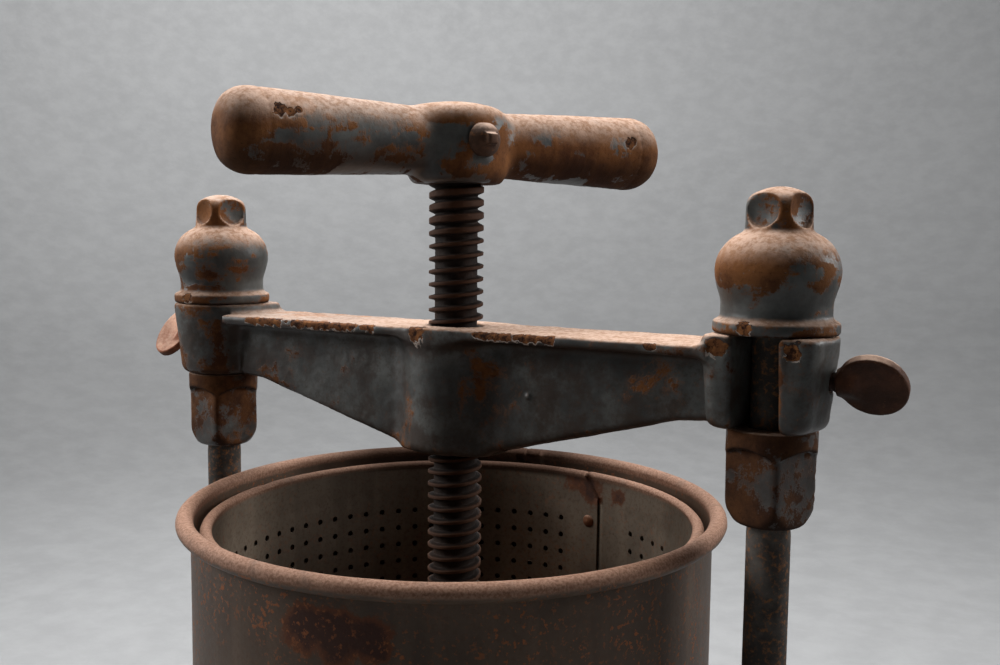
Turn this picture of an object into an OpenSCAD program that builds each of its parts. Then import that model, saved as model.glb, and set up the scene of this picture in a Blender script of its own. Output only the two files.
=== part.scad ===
// Screw press with a perforated basket.
// Millimetres, +Z up. The screw's axis is the Z axis, the ground is z = 0, and the two rods stand on
// the X axis. The crosshead is the same when it is turned half a turn about Z: each end is a fork
// that opens on its trailing side, so that a turn to the left frees both ends from the rods.

/* [Rods] */
// Distance between the axes of the two rods
rod_span = 307; // [304:1:312]
// Diameter of each rod
rod_d = 18; // [14:0.5:18]
// Height of the seats, where the dome nuts press on the crosshead's ends
seat_h = 377; // [374:1:400]

/* [Crosshead] */
// Height of each forked end
fork_h = 38; // [34:1:42]
// Radius of a fork's closed side at its top
fork_r = 25.5; // [24:0.5:26]
// Distance from a rod's axis to the open face of its fork
fork_reach = 23; // [18:1:24]
// Depth of the middle boss below the seats
boss_drop = 64; // [58:1:68]
// Radius of the middle boss
boss_r = 24; // [20:0.5:26]
// Depth of the top flange's upper face below the seats
flange_drop = 4.5; // [3:0.5:6]
// Width of the top flange
flange_w = 46; // [36:1:46]
// Thickness of the web under the flange
web_t = 22; // [14:1:26]

/* [Screw] */
// Crest diameter of the screw
screw_d = 26; // [24:0.5:26]
// Root diameter of the screw
root_d = 20.2; // [18:0.2:21]
// Pitch of the screw, right-hand
pitch = 6; // [5:0.5:8]

/* [Handle] */
// Distance across both arms
handle_l = 236; // [200:2:240]
// Diameter of an arm at its thick outer end
arm_d = 37.4; // [32:0.2:38]
// Diameter of an arm where it meets the hub
neck_d = 31; // [26:0.5:32]
// Diameter of the hub
hub_d = 49; // [44:1:50]
// Height of the hub
hub_h = 38; // [36:1:42]
// Height of the hub's underside above the seats
hub_rise = 62; // [58:1:64]
// Angle of the arms from the X axis
handle_turn = 63; // [0:1:180]

/* [Nuts on the rods] */
// Diameter of a dome nut's flange
dome_flange_d = 50.4; // [46:0.2:52]
// Height of a dome nut
dome_h = 58.4; // [56:0.2:62]
// Length of the long square collar under each end of the crosshead
collar_h = 40; // [34:1:44]
// Turned diameter of a collar
collar_d = 36.6; // [34:0.2:38]
// Distance across a collar's flats
collar_flats = 27; // [25:0.5:28]

/* [Thumb screws] */
// Diameter of a thumb screw's shank
stud_d = 8; // [6:0.5:10]
// Width of the right thumb screw's oval head, along its shank
right_thumb_w = 26.8; // [22:0.4:27]
// Length of the right thumb screw's oval head, across its shank
right_thumb_l = 30.4; // [28:0.4:33]
// Width of the left thumb screw's oval head, along its shank
left_thumb_w = 22; // [18:0.5:22]
// Length of the left thumb screw's oval head, across its shank
left_thumb_l = 33; // [28:0.5:33]
// Thickness of a thumb screw's flat head
thumb_t = 4.4; // [3:0.2:6]

/* [Drum] */
// Inside diameter of the drum
drum_d = 244; // [242:1:248]
// Thickness of the drum's sheet
drum_t = 1.2; // [0.8:0.1:1.6]
// Radius of the drum's curled rim in section
drum_bead_r = 4; // [3:0.25:4.5]
// Depth of the middle of the drum's rim below the seats
drum_drop = 92.6; // [88:0.2:96]

/* [Basket] */
// Inside diameter of the basket
basket_d = 228; // [224:1:228]
// Thickness of the basket's sheet
basket_t = 1; // [0.8:0.1:1.2]
// Radius of the basket's curled rim in section
basket_bead_r = 2.8; // [2.2:0.1:3]
// Depth of the middle of the basket's rim below the seats
basket_drop = 98.5; // [96:0.5:104]
// Height of the basket's floor above the drum's floor
basket_floor_rise = 10; // [8:1:20]

/* [Pressure plate] */
// Diameter of the pressure plate
plate_d = 214; // [200:1:216]
// Height of the plate's underside above the ground
plate_h = 132; // [130:1:150]
// Thickness of the plate
plate_t = 8; // [6:0.5:10]

/* [Base] */
// Height of the platform's upper face above the ground
platform_h = 54; // [52:1:60]
// Diameter of the platform
platform_d = 268; // [262:1:272]
// Distance between neighbouring foot holes, which lie on a square
foot_spacing = 215; // [210:1:226]
// Diameter of the hole in each foot
foot_hole_d = 9; // [7:0.5:10]

/* [Hidden] */
$fn = 64;

// Radial clearance of a shaft in its bore, and the gap between faces that slide past each other
fit = 0.05;
slide_gap = 0.2;
// Overrun of a cutting solid past the face that it cuts
over = 1;

rod_x = rod_span / 2;
rod_r = rod_d / 2;
rod_foot_h = 14;
rod_top_h = seat_h + 36;

slot_gap = 0.35;
slot_r = rod_r + slot_gap;
fork_base_h = seat_h - fork_h;
fork_draft = 4.2;
web_end_x = rod_x - fork_r + 1.5;

screw_r = screw_d / 2;
root_r = root_d / 2;
hub_base_h = seat_h + hub_rise;
arm_h = hub_base_h + hub_h / 2;
spigot_r = 8;
socket_r = 10;
socket_l = 29;
pin_r = 4;

dome_bore_l = 37;
stud_r = stud_d / 2;
thumb_drop = 18;
thumb_h = seat_h - thumb_drop;
thumb_neck_x = rod_x + 25.2;
right_thumb_x = rod_x + 38.8;
left_thumb_x = rod_x + 35.8;

drum_r = drum_d / 2;
drum_bead_x = drum_r + drum_bead_r;
drum_rim_h = seat_h - drum_drop;
drum_floor_h = platform_h + drum_t;
drum_seam_turn = 98.5;
seam_lap = 6;
rivet_r = 1.6;
rivet_head_r = 3.8;
rivet_head_h = 2;
rivet_gap = 0.1;

basket_r = basket_d / 2;
basket_bead_x = basket_r + basket_bead_r;
basket_rim_h = seat_h - basket_drop;
basket_floor_h = drum_floor_h + basket_floor_rise;
basket_seam_turn = 78.5;

plate_r = plate_d / 2;
plate_hub_r = 26;
plate_hub_top = plate_h + 40;
plate_recess_r = 17;
plate_recess_top = plate_h + 18;
thread_base_h = plate_hub_top + 3;
thread_turns = floor((hub_base_h - thread_base_h) / pitch);
washer_t = 3;
end_pin_r = 2;
washer_base_h = plate_recess_top - slide_gap - washer_t;
end_pin_h = washer_base_h - end_pin_r - fit;

foot_reach = foot_spacing / sqrt(2);
platform_r = platform_d / 2;
platform_t = 9;
ear_r = 23;
ear_top_h = platform_h + 2;
ear_base_h = 38;
nut_w = 28;
nut_h = 14;
rod_washer_r = 19;
rod_washer_t = 2.5;
spout_bore_r = 10;
spout_t = 1.4;
spout_tilt = 6;
spout_h = platform_h + 15;

// ---- shared shapes ----

// Flat ring about Z that stands on z = 0
module ring(outer_r, inner_r, h) {
    difference() {
        cylinder(r = outer_r, h = h);
        translate([0, 0, -over])
            cylinder(r = inner_r, h = h + 2 * over);
    }
}

// Part of a thin tube about Z, from angle 0 to sweep
module tube_arc(inner_r, t, h, sweep) {
    rotate_extrude(angle = sweep)
        translate([inner_r, 0])
            square([t, h]);
}

// Points of an arc, for outlines
function arc(cx, cy, r, from, to, steps) =
    [for (i = [0:steps]) let (a = from + (to - from) * i / steps) [cx + r * cos(a), cy + r * sin(a)]];

// Round-headed rivet whose shank lies along X from x = 0 to x = grip
module rivet(grip) {
    rotate([0, 90, 0])
        rotate_extrude()
            polygon([
                [0, -rivet_head_h], [rivet_head_r * 0.6, -rivet_head_h * 0.8], [rivet_head_r, 0],
                [rivet_r, 0], [rivet_r, grip], [rivet_head_r, grip],
                [rivet_head_r * 0.6, grip + rivet_head_h * 0.8], [0, grip + rivet_head_h]
            ]);
}

// Hole for a rivet's shank, from x = 0 to x = grip
module rivet_hole(grip) {
    translate([-over, 0, 0])
        rotate([0, 90, 0])
            cylinder(r = rivet_r + rivet_gap, h = grip + 2 * over);
}

// ---- base ----

// Ear: a round pad for a rod, joined to the platform by a tapered web
module ear() {
    // the web's edges lie just inside the tangents that the pad and the platform share
    inset = 1;
    tangent = acos((platform_r - ear_r) / rod_x);
    root_x = (platform_r - inset) * cos(tangent);
    root_y = (platform_r - inset) * sin(tangent);
    neck_x = rod_x + (ear_r - inset) * cos(tangent);
    neck_y = (ear_r - inset) * sin(tangent);
    translate([rod_x, 0, ear_base_h])
        cylinder(r = ear_r, h = ear_top_h - ear_base_h);
    translate([0, 0, platform_h - platform_t])
        linear_extrude(platform_t)
            polygon([[root_x, -root_y], [neck_x, -neck_y], [neck_x, neck_y], [root_x, root_y]]);
}

// Leg that curves out and down from the platform's edge to a round foot
module leg() {
    leg_t = 16;
    foot_r = 18;
    foot_t = 9;
    top_h = platform_h - platform_t / 2;
    translate([0, leg_t / 2, 0])
        rotate([90, 0, 0])
            linear_extrude(leg_t)
                polygon(concat(
                    [[foot_reach - 4, 0], [foot_reach + 8, 0], [foot_reach + 8, foot_t]],
                    arc(foot_reach + 4, top_h - 10, 30, 248, 180, 6),
                    [[platform_r - 8, top_h]],
                    [[platform_r - 52, top_h], [platform_r - 52, top_h - 14]],
                    arc(platform_r - 44, foot_t - 4, 30, 80, 12, 6)
                ));
    translate([foot_reach, 0, 0])
        cylinder(r = foot_r, h = foot_t);
}

module base_casting() {
    lip_w = 5;
    lip_h = 5;
    rib_t = 10;
    rib_h = 8;
    color("dimgray")
        difference() {
            union() {
                translate([0, 0, platform_h - platform_t])
                    cylinder(r = platform_r, h = platform_t);
                translate([0, 0, platform_h])
                    ring(platform_r, platform_r - lip_w, lip_h);
                for (turn = [0, 180])
                    rotate([0, 0, turn])
                        ear();
                for (turn = [45:90:315])
                    rotate([0, 0, turn])
                        leg();
                for (turn = [0, 90])
                    rotate([0, 0, turn])
                        translate([-platform_r + 6, -rib_t / 2, platform_h - platform_t - rib_h])
                            cube([2 * platform_r - 12, rib_t, rib_h + over]);
            }
            for (side = [-1, 1])
                translate([side * rod_x, 0, 0])
                    cylinder(r = rod_r + fit, h = ear_top_h + over);
            for (turn = [45:90:315])
                rotate([0, 0, turn])
                    translate([foot_reach, 0, -over])
                        cylinder(d = foot_hole_d, h = platform_h);
            // gap in the lip for the spout
            translate([-22, -platform_r - over, platform_h])
                cube([44, 20, lip_h + over]);
            // seats for the nuts on the ears
            for (side = [-1, 1])
                translate([side * rod_x - ear_r - over, -ear_r - over, ear_top_h])
                    cube([2 * (ear_r + over), 2 * (ear_r + over), lip_h]);
        }
}

// ---- rods and their nuts ----

module rod(side) {
    tip = 1.5;
    color("saddlebrown")
        translate([side * rod_x, 0, 0])
            rotate_extrude()
                polygon([
                    [0, rod_foot_h], [rod_r - tip, rod_foot_h], [rod_r, rod_foot_h + tip],
                    [rod_r, rod_top_h - tip], [rod_r - tip, rod_top_h], [0, rod_top_h]
                ]);
}

module left_rod() {
    rod(-1);
}

module right_rod() {
    rod(1);
}

// Square nut with a turned upper chamfer, standing on z = 0
module square_nut() {
    corner_r = nut_w / 2 + 3.6;
    difference() {
        intersection() {
            translate([-nut_w / 2, -nut_w / 2, 0])
                cube([nut_w, nut_w, nut_h]);
            union() {
                cylinder(r = corner_r, h = nut_h - 3);
                translate([0, 0, nut_h - 3])
                    cylinder(r1 = corner_r, r2 = corner_r - 4, h = 3);
            }
        }
        translate([0, 0, -over])
            cylinder(r = rod_r + fit, h = nut_h + 2 * over);
    }
}

module rod_upper_nuts() {
    color("saddlebrown")
        for (side = [-1, 1])
            translate([side * rod_x, 0, ear_top_h])
                rotate([0, 0, 12 * side])
                    square_nut();
}

module rod_washers() {
    color("saddlebrown")
        for (side = [-1, 1])
            translate([side * rod_x, 0, ear_base_h - rod_washer_t])
                ring(rod_washer_r, rod_r + fit, rod_washer_t);
}

module rod_lower_nuts() {
    color("saddlebrown")
        for (side = [-1, 1])
            translate([side * rod_x, 0, ear_base_h - rod_washer_t])
                rotate([180, 0, 25 * side])
                    square_nut();
}

// Long collar: turned round, then given four flats whose upper ends are arched
module collar(side, turn) {
    collar_r = collar_d / 2;
    end_r = 13.6;
    chamfer_h = 7;
    arch_r = 20;
    arch_drop = 7.5;
    color("slategray")
        translate([side * rod_x, 0, fork_base_h - slide_gap - collar_h])
            rotate([0, 0, turn])
                difference() {
                    rotate_extrude()
                        polygon([
                            [rod_r + fit, 0], [end_r, 0], [collar_r, chamfer_h],
                            [collar_r, collar_h], [rod_r + fit, collar_h]
                        ]);
                    for (face = [0:90:270])
                        rotate([0, 0, face])
                            translate([collar_flats / 2, 0, collar_h - arch_drop - arch_r])
                                rotate([0, 90, 0])
                                    cylinder(r = arch_r, h = collar_r);
                }
}

module left_collar() {
    collar(-1, -11.5);
}

module right_collar() {
    collar(1, -22.7);
}

// Bell-shaped nut with a small square head whose four faces are dished
module dome_nut(side, turn) {
    flange_r = dome_flange_d / 2;
    flange_t = 5.2;
    belly_r = flange_r - 0.2;
    head_r = 13.2;
    head_h = 42;
    dish_r = 7.6;
    dish_sphere_r = 22;
    dish_x = 9;
    color("slategray")
        translate([side * rod_x, 0, seat_h + slide_gap])
            rotate([0, 0, turn])
                difference() {
                    rotate_extrude()
                        polygon(concat(
                            [[rod_r + fit, 0], [flange_r - 0.8, 0], [flange_r, 0.8]],
                            [[flange_r, flange_t - 1], [flange_r - 1, flange_t]],
                            [[flange_r - 2.7, flange_t + 1.8], [flange_r - 3.3, flange_t + 4.4]],
                            [[flange_r - 2.8, flange_t + 7.4]],
                            arc(belly_r - 15.5, 25, 15.5, -32, 62, 8),
                            [[head_r + 1, head_h - 1.4], [head_r, head_h]],
                            arc(head_r - 4, dome_h - 6, 4, 0, 60, 3),
                            [[head_r * 0.4, dome_h - 0.6], [0, dome_h]],
                            [[0, dome_bore_l], [rod_r + fit, dome_bore_l]]
                        ));
                    for (face = [0:90:270])
                        rotate([0, 0, face])
                            intersection() {
                                translate([dish_x + dish_sphere_r, 0, head_h + dish_r])
                                    sphere(r = dish_sphere_r);
                                translate([0, 0, head_h + dish_r])
                                    rotate([0, 90, 0])
                                        cylinder(r = dish_r, h = 2 * head_r);
                            }
                }
}

module left_dome_nut() {
    dome_nut(-1, -13.5);
}

module right_dome_nut() {
    dome_nut(1, -19);
}

// ---- drum ----

// Sheet-metal wall with a curled rim that bulges outward, as an outline to revolve
module curled_wall(inner_r, t, base_h, rim_h, bead_r) {
    translate([inner_r, base_h])
        square([t, rim_h - base_h]);
    translate([inner_r + bead_r, rim_h])
        difference() {
            circle(r = bead_r);
            circle(r = bead_r - t);
        }
}

module drum_shell() {
    lap_h = drum_rim_h - platform_h - drum_bead_r - 2;
    color("rosybrown")
        difference() {
            union() {
                rotate_extrude()
                    curled_wall(drum_r, drum_t, platform_h, drum_rim_h, drum_bead_r);
                // outer end of the sheet, lapped over the other
                rotate([0, 0, drum_seam_turn])
                    translate([0, 0, platform_h])
                        tube_arc(drum_r + drum_t / 2, drum_t * 1.5, lap_h, seam_lap);
            }
            translate([0, -drum_r + 6, spout_h])
                rotate([90 + spout_tilt, 0, 0])
                    cylinder(r = spout_bore_r + spout_t + fit, h = 20);
            on_drum_seam()
                rivet_hole(2 * drum_t);
        }
}

module drum_rim_wire() {
    color("saddlebrown")
        translate([0, 0, drum_rim_h])
            rotate_extrude()
                translate([drum_bead_x, 0])
                    circle(r = drum_bead_r - drum_t - fit);
}

module drum_bottom() {
    flange_h = 6;
    color("gray")
        translate([0, 0, platform_h]) {
            cylinder(r = drum_r - fit, h = drum_t);
            intersection() {
                ring(drum_r - fit, drum_r - drum_t, flange_h);
                // the turned-up edge stops short of the spout
                difference() {
                    cylinder(r = drum_r, h = flange_h);
                    translate([-16, -drum_d, drum_t])
                        cube([32, drum_d, flange_h]);
                }
            }
        }
}

module drum_spout() {
    spout_l = 50;
    color("gray")
        difference() {
            translate([0, -drum_r + 6, spout_h])
                rotate([90 + spout_tilt, 0, 0])
                    ring(spout_bore_r + spout_t, spout_bore_r, spout_l);
            // cut to the round of the drum's inner wall
            cylinder(r = drum_r, h = 2 * spout_h);
        }
}

// Places its child at each rivet of the drum's seam, on the drum's inner face
module on_drum_seam() {
    first_h = platform_h + 20;
    step = 36;
    for (i = [0:5])
        rotate([0, 0, drum_seam_turn + seam_lap / 2])
            translate([drum_r, 0, first_h + i * step])
                children();
}

module drum_seam_rivets() {
    color("saddlebrown")
        on_drum_seam()
            translate([-rivet_gap, 0, 0])
                rivet(2 * (drum_t + rivet_gap));
}

// ---- basket ----

// The wall's perforations, 3 mm holes on a 10 mm grid, are left out of this solid
module basket_shell() {
    color("rosybrown")
        difference() {
            union() {
                rotate_extrude()
                    curled_wall(basket_r, basket_t, drum_floor_h, basket_rim_h, basket_bead_r);
                // inner end of the sheet, lapped behind the other
                rotate([0, 0, basket_seam_turn])
                    translate([0, 0, basket_floor_h + 2])
                        tube_arc(basket_r - basket_t, basket_t * 1.5,
                            basket_rim_h - basket_floor_h - 4, seam_lap);
            }
            on_basket_seam()
                rivet_hole(2 * basket_t);
        }
}

module basket_rim_wire() {
    color("saddlebrown")
        translate([0, 0, basket_rim_h])
            rotate_extrude()
                translate([basket_bead_x, 0])
                    circle(r = basket_bead_r - basket_t - fit);
}

// Flat perforated floor with a turned-down edge
module basket_bottom() {
    edge_h = 8;
    floor_t = 1.5;
    color("gray")
        translate([0, 0, basket_floor_h - floor_t]) {
            cylinder(r = basket_r - fit, h = floor_t);
            translate([0, 0, -edge_h + floor_t])
                ring(basket_r - fit, basket_r - floor_t, edge_h);
        }
}

// Places its child at each rivet of the basket's seam, on the lap's inner face
module on_basket_seam() {
    top_h = seat_h - 123.5;
    step = 50;
    for (i = [0:3])
        rotate([0, 0, basket_seam_turn + 2])
            translate([basket_r - basket_t, 0, top_h - i * step])
                children();
}

module basket_seam_rivets() {
    color("saddlebrown")
        on_basket_seam()
            translate([-rivet_gap, 0, 0])
                rivet(2 * (basket_t + rivet_gap));
}

// ---- crosshead ----

// Drafted block with both prongs of the right-hand fork, from the rod's axis to the open face
module prong_block() {
    inner_x = rod_x - fork_r + 1;
    corner_x = rod_x + fork_r - 3.5;
    outer_x = rod_x + fork_r - 0.4;
    inner_draft = 2.4;
    face_draft = 1;
    points = [
        [inner_x + inner_draft, 0, fork_base_h],
        [inner_x + inner_draft, -fork_reach + face_draft, fork_base_h],
        [corner_x - fork_draft, -fork_reach + face_draft, fork_base_h],
        [outer_x - fork_draft, 0, fork_base_h],
        [inner_x, 0, seat_h],
        [inner_x, -fork_reach, seat_h],
        [corner_x, -fork_reach, seat_h],
        [outer_x, 0, seat_h]
    ];
    polyhedron(points, [
        [0, 1, 2, 3], [7, 6, 5, 4], [4, 5, 1, 0], [5, 6, 2, 1], [6, 7, 3, 2], [7, 4, 0, 3]
    ]);
}

// Right-hand fork before its slot is cut
module fork_body() {
    translate([rod_x, 0, fork_base_h])
        cylinder(r1 = fork_r - fork_draft, r2 = fork_r, h = fork_h);
    prong_block();
}

// The slot is an arc about the screw's axis, so that the crosshead can swing off the rods
module fork_slot() {
    translate([rod_x, 0, fork_base_h - over])
        cylinder(r = slot_r, h = fork_h + 2 * over);
    intersection() {
        translate([0, 0, fork_base_h - over])
            ring(rod_x + slot_r, rod_x - slot_r, fork_h + 2 * over);
        translate([rod_x - 2 * fork_r, -2 * fork_r, fork_base_h - 2 * over])
            cube([4 * fork_r, 2 * fork_r, fork_h + 4 * over]);
    }
    translate([rod_x, 0, thumb_h])
        rotate([0, 90, 0])
            cylinder(r = stud_r + fit, h = 2 * fork_r);
}

module web() {
    knee_x = 116;
    foot_x = 22;
    translate([0, web_t / 2, seat_h])
        rotate([90, 0, 0])
            linear_extrude(web_t)
                polygon([
                    [-web_end_x, -flange_drop], [web_end_x, -flange_drop],
                    [web_end_x, -fork_h + 1], [knee_x, -fork_h],
                    [foot_x, -boss_drop], [-foot_x, -boss_drop],
                    [-knee_x, -fork_h], [-web_end_x, -fork_h + 1]
                ]);
}

module top_flange() {
    flange_t = 5.5;
    translate([-web_end_x, -flange_w / 2, seat_h - flange_drop - flange_t])
        cube([2 * web_end_x, flange_w, flange_t]);
}

module crosshead() {
    color("slategray")
        difference() {
            union() {
                for (turn = [0, 180])
                    rotate([0, 0, turn])
                        fork_body();
                web();
                top_flange();
                translate([0, 0, seat_h - boss_drop])
                    cylinder(r = boss_r, h = boss_drop - flange_drop);
            }
            for (turn = [0, 180])
                rotate([0, 0, turn])
                    fork_slot();
            translate([0, 0, seat_h - boss_drop - over])
                cylinder(r = screw_r + fit, h = boss_drop + over);
        }
}

// Shank of a thumb screw, from the rod to inside the flat head
module thumb_stud() {
    color("saddlebrown")
        translate([rod_x + slot_r, 0, thumb_h])
            rotate([0, 90, 0])
                cylinder(r = stud_r, h = thumb_neck_x + 4 - rod_x - slot_r);
}

// Half of a flat head's cross-section, from its middle out to its chamfered edge
function thumb_section(half_w) =
    let (half_t = thumb_t / 2, edge = 1)
        [
            [0, -half_t], [half_w - edge, -half_t], [half_w, -half_t + edge],
            [half_w, half_t - edge], [half_w - edge, half_t], [0, half_t]
        ];

// Flat oval head, w wide and l long, with a short neck, its middle at x, turned by a given angle
module thumb_head(turn, x, w, l) {
    neck_r = 5.6;
    half_w = w / 2;
    rise = (l - w) / 2;
    color("sienna")
        translate([0, 0, thumb_h])
            rotate([turn, 0, 0])
                difference() {
                    union() {
                        for (end = [-1, 1])
                            translate([x, 0, end * rise])
                                rotate([90, 0, 0])
                                    rotate_extrude()
                                        polygon(thumb_section(half_w));
                        for (flip = [0, 180])
                            translate([x, 0, 0])
                                rotate([0, 0, flip])
                                    translate([0, 0, -rise])
                                        linear_extrude(2 * rise)
                                            polygon(thumb_section(half_w));
                        translate([thumb_neck_x, 0, 0])
                            rotate([0, 90, 0])
                                cylinder(r1 = neck_r, r2 = neck_r - 1, h = x - half_w / 2 - thumb_neck_x);
                    }
                    translate([thumb_neck_x - over, 0, 0])
                        rotate([0, 90, 0])
                            cylinder(r = stud_r + fit, h = 4 + over);
                }
}

module right_thumb_stud() {
    thumb_stud();
}

module right_thumb_head() {
    thumb_head(38, right_thumb_x, right_thumb_w, right_thumb_l);
}

module left_thumb_stud() {
    rotate([0, 0, 180])
        thumb_stud();
}

module left_thumb_head() {
    rotate([0, 0, 180])
        thumb_head(40, left_thumb_x, left_thumb_w, left_thumb_l);
}

// ---- pressure plate ----

module pressure_plate() {
    rib_t = 7;
    rib_h = 20;
    rib_end_h = 3;
    rib_end_x = plate_r - 4;
    color("dimgray")
        difference() {
            union() {
                translate([0, 0, plate_h])
                    cylinder(r = plate_r, h = plate_t);
                translate([0, 0, plate_h])
                    cylinder(r = plate_hub_r, h = plate_hub_top - plate_h);
                for (turn = [0:60:300])
                    rotate([0, 0, turn])
                        translate([0, rib_t / 2, plate_h + plate_t])
                            rotate([90, 0, 0])
                                linear_extrude(rib_t)
                                    polygon([
                                        [plate_hub_r - 3, -over], [rib_end_x, -over],
                                        [rib_end_x, rib_end_h], [plate_hub_r - 3, rib_h]
                                    ]);
            }
            translate([0, 0, plate_h])
                cylinder(r = spigot_r + fit, h = plate_hub_top);
            translate([0, 0, plate_h - over])
                cylinder(r = plate_recess_r, h = plate_recess_top - plate_h + over);
        }
}

// ---- screw and handle ----

// One pitch of the thread's outline: a wide groove, then a narrow crest
function thread_turn(h) =
    let (groove = pitch * 0.5, flank = pitch * 0.1)
    [[root_r, h], [root_r, h + groove], [screw_r, h + groove + flank], [screw_r, h + pitch - flank]];

// The thread is cut as rings, one pitch apart; the real one is a right-hand helix
module screw() {
    shoulder_h = plate_hub_top + slide_gap;
    spigot_base_h = plate_h + 6;
    color("saddlebrown")
        difference() {
            rotate_extrude()
                polygon(concat(
                    [[0, spigot_base_h], [spigot_r - 1, spigot_base_h], [spigot_r, spigot_base_h + 1]],
                    [[spigot_r, shoulder_h], [root_r, shoulder_h]],
                    [for (i = [0:thread_turns - 1]) each thread_turn(thread_base_h + i * pitch)],
                    [[root_r, thread_base_h + thread_turns * pitch], [root_r, hub_base_h]],
                    [[socket_r, hub_base_h], [socket_r, hub_base_h + socket_l], [0, hub_base_h + socket_l]]
                ));
            translate([0, 0, end_pin_h])
                rotate([0, 90, 0])
                    cylinder(r = end_pin_r + fit, h = 4 * spigot_r, center = true);
            translate([0, 0, arm_h])
                rotate([0, 90, handle_turn - 90])
                    cylinder(r = pin_r + fit, h = 4 * socket_r, center = true);
        }
}

module end_washer() {
    color("saddlebrown")
        translate([0, 0, washer_base_h])
            ring(plate_recess_r - 2, spigot_r + fit, washer_t);
}

module end_pin() {
    color("saddlebrown")
        translate([0, 0, end_pin_h])
            rotate([0, 90, 0])
                cylinder(r = end_pin_r, h = 26, center = true);
}

module hub() {
    foot_r = hub_d / 2 - 3.6;
    round_r = 9;
    translate([0, 0, hub_base_h])
        rotate_extrude()
            polygon(concat(
                [[0, 0], [foot_r, 0], [foot_r + 1.6, 0.8], [hub_d / 2, 6]],
                arc(hub_d / 2 - round_r, hub_h - round_r - 1.6, round_r, 0, 72, 6),
                [[hub_d / 6, hub_h - 0.3], [0, hub_h]]
            ));
}

// Both arms as one turned bar: thin at the hub, thickest near its rounded ends
module arms() {
    half = handle_l / 2;
    round_r = 14;
    steps = 8;
    end = arc(arm_d / 2 - round_r, half - round_r, round_r, 0, 82, steps);
    rotate([0, 90, 0])
        rotate_extrude()
            polygon(concat(
                [for (i = [steps:-1:0]) [end[i][0], -end[i][1]]],
                [[neck_d / 2, -hub_d / 2], [neck_d / 2, hub_d / 2]],
                end,
                [[0, half], [0, -half]]
            ));
}

module handle() {
    color("sienna")
        difference() {
            union() {
                hub();
                translate([0, 0, arm_h])
                    rotate([0, 0, handle_turn])
                        arms();
            }
            translate([0, 0, hub_base_h - over])
                cylinder(r = socket_r + fit, h = socket_l + over + slide_gap);
            translate([0, 0, arm_h])
                rotate([0, 90, handle_turn - 90])
                    cylinder(r = pin_r + fit, h = 2 * hub_d, center = true);
        }
}

module handle_pin() {
    head_r = 7.4;
    head_x = hub_d / 2 - 0.6;
    tail_x = -hub_d / 2 - 1;
    nub_w = 5;
    color("peru")
        translate([0, 0, arm_h])
            rotate([0, 0, handle_turn - 90]) {
                rotate([0, 90, 0])
                    rotate_extrude()
                        polygon([
                            [0, tail_x], [pin_r, tail_x], [pin_r, head_x + 1], [head_r, head_x + 1],
                            [head_r, head_x + 2.4], [head_r - 1.6, head_x + 5],
                            [head_r - 4, head_x + 6.4], [0, head_x + 7]
                        ]);
                translate([head_x + 5, -nub_w / 2, -nub_w / 2])
                    cube([4.6, nub_w, nub_w]);
            }
}

base_casting();
left_rod();
right_rod();
rod_upper_nuts();
rod_lower_nuts();
rod_washers();
left_collar();
right_collar();
left_dome_nut();
right_dome_nut();
drum_shell();
drum_rim_wire();
drum_bottom();
drum_spout();
drum_seam_rivets();
basket_shell();
basket_rim_wire();
basket_bottom();
basket_seam_rivets();
crosshead();
left_thumb_stud();
left_thumb_head();
right_thumb_stud();
right_thumb_head();
pressure_plate();
screw();
end_washer();
end_pin();
handle();
handle_pin();
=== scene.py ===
"""Screw press with a perforated basket: the looks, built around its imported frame.

Shapes are worked out in millimetres and written to meshes in metres. Castings are taken from distance
fields, so that they get the soft fillets of sand castings; turned and rolled pieces are revolved.
"""
from math import acos, atan2, cos, hypot, pi, radians, sin, sqrt, tan
import bpy
import numpy as np
import openvdb
from mathutils import Matrix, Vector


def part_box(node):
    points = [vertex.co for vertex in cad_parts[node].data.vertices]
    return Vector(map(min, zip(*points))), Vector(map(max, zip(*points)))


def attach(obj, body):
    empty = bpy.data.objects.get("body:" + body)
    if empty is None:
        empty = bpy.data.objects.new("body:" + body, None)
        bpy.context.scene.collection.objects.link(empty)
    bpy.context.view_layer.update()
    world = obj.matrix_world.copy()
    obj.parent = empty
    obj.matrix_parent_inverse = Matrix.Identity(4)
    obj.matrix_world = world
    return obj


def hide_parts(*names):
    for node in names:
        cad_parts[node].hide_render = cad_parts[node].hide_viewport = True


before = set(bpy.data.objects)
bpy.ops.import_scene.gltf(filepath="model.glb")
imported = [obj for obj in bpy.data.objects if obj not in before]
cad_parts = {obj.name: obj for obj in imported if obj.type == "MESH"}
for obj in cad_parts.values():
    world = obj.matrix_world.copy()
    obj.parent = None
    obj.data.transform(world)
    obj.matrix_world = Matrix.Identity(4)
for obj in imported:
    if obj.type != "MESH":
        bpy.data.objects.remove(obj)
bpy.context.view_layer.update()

MM = 0.001
TURN = 2 * pi


# ---------------- places, from the frame

def fine(full, quick):
    """The first number. The second, meant for quick trials, is not used."""
    return full


def span(node):
    """Lowest and highest corner of a CAD node, in millimetres."""
    low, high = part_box(node)
    return np.array(low) / MM, np.array(high) / MM


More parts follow.
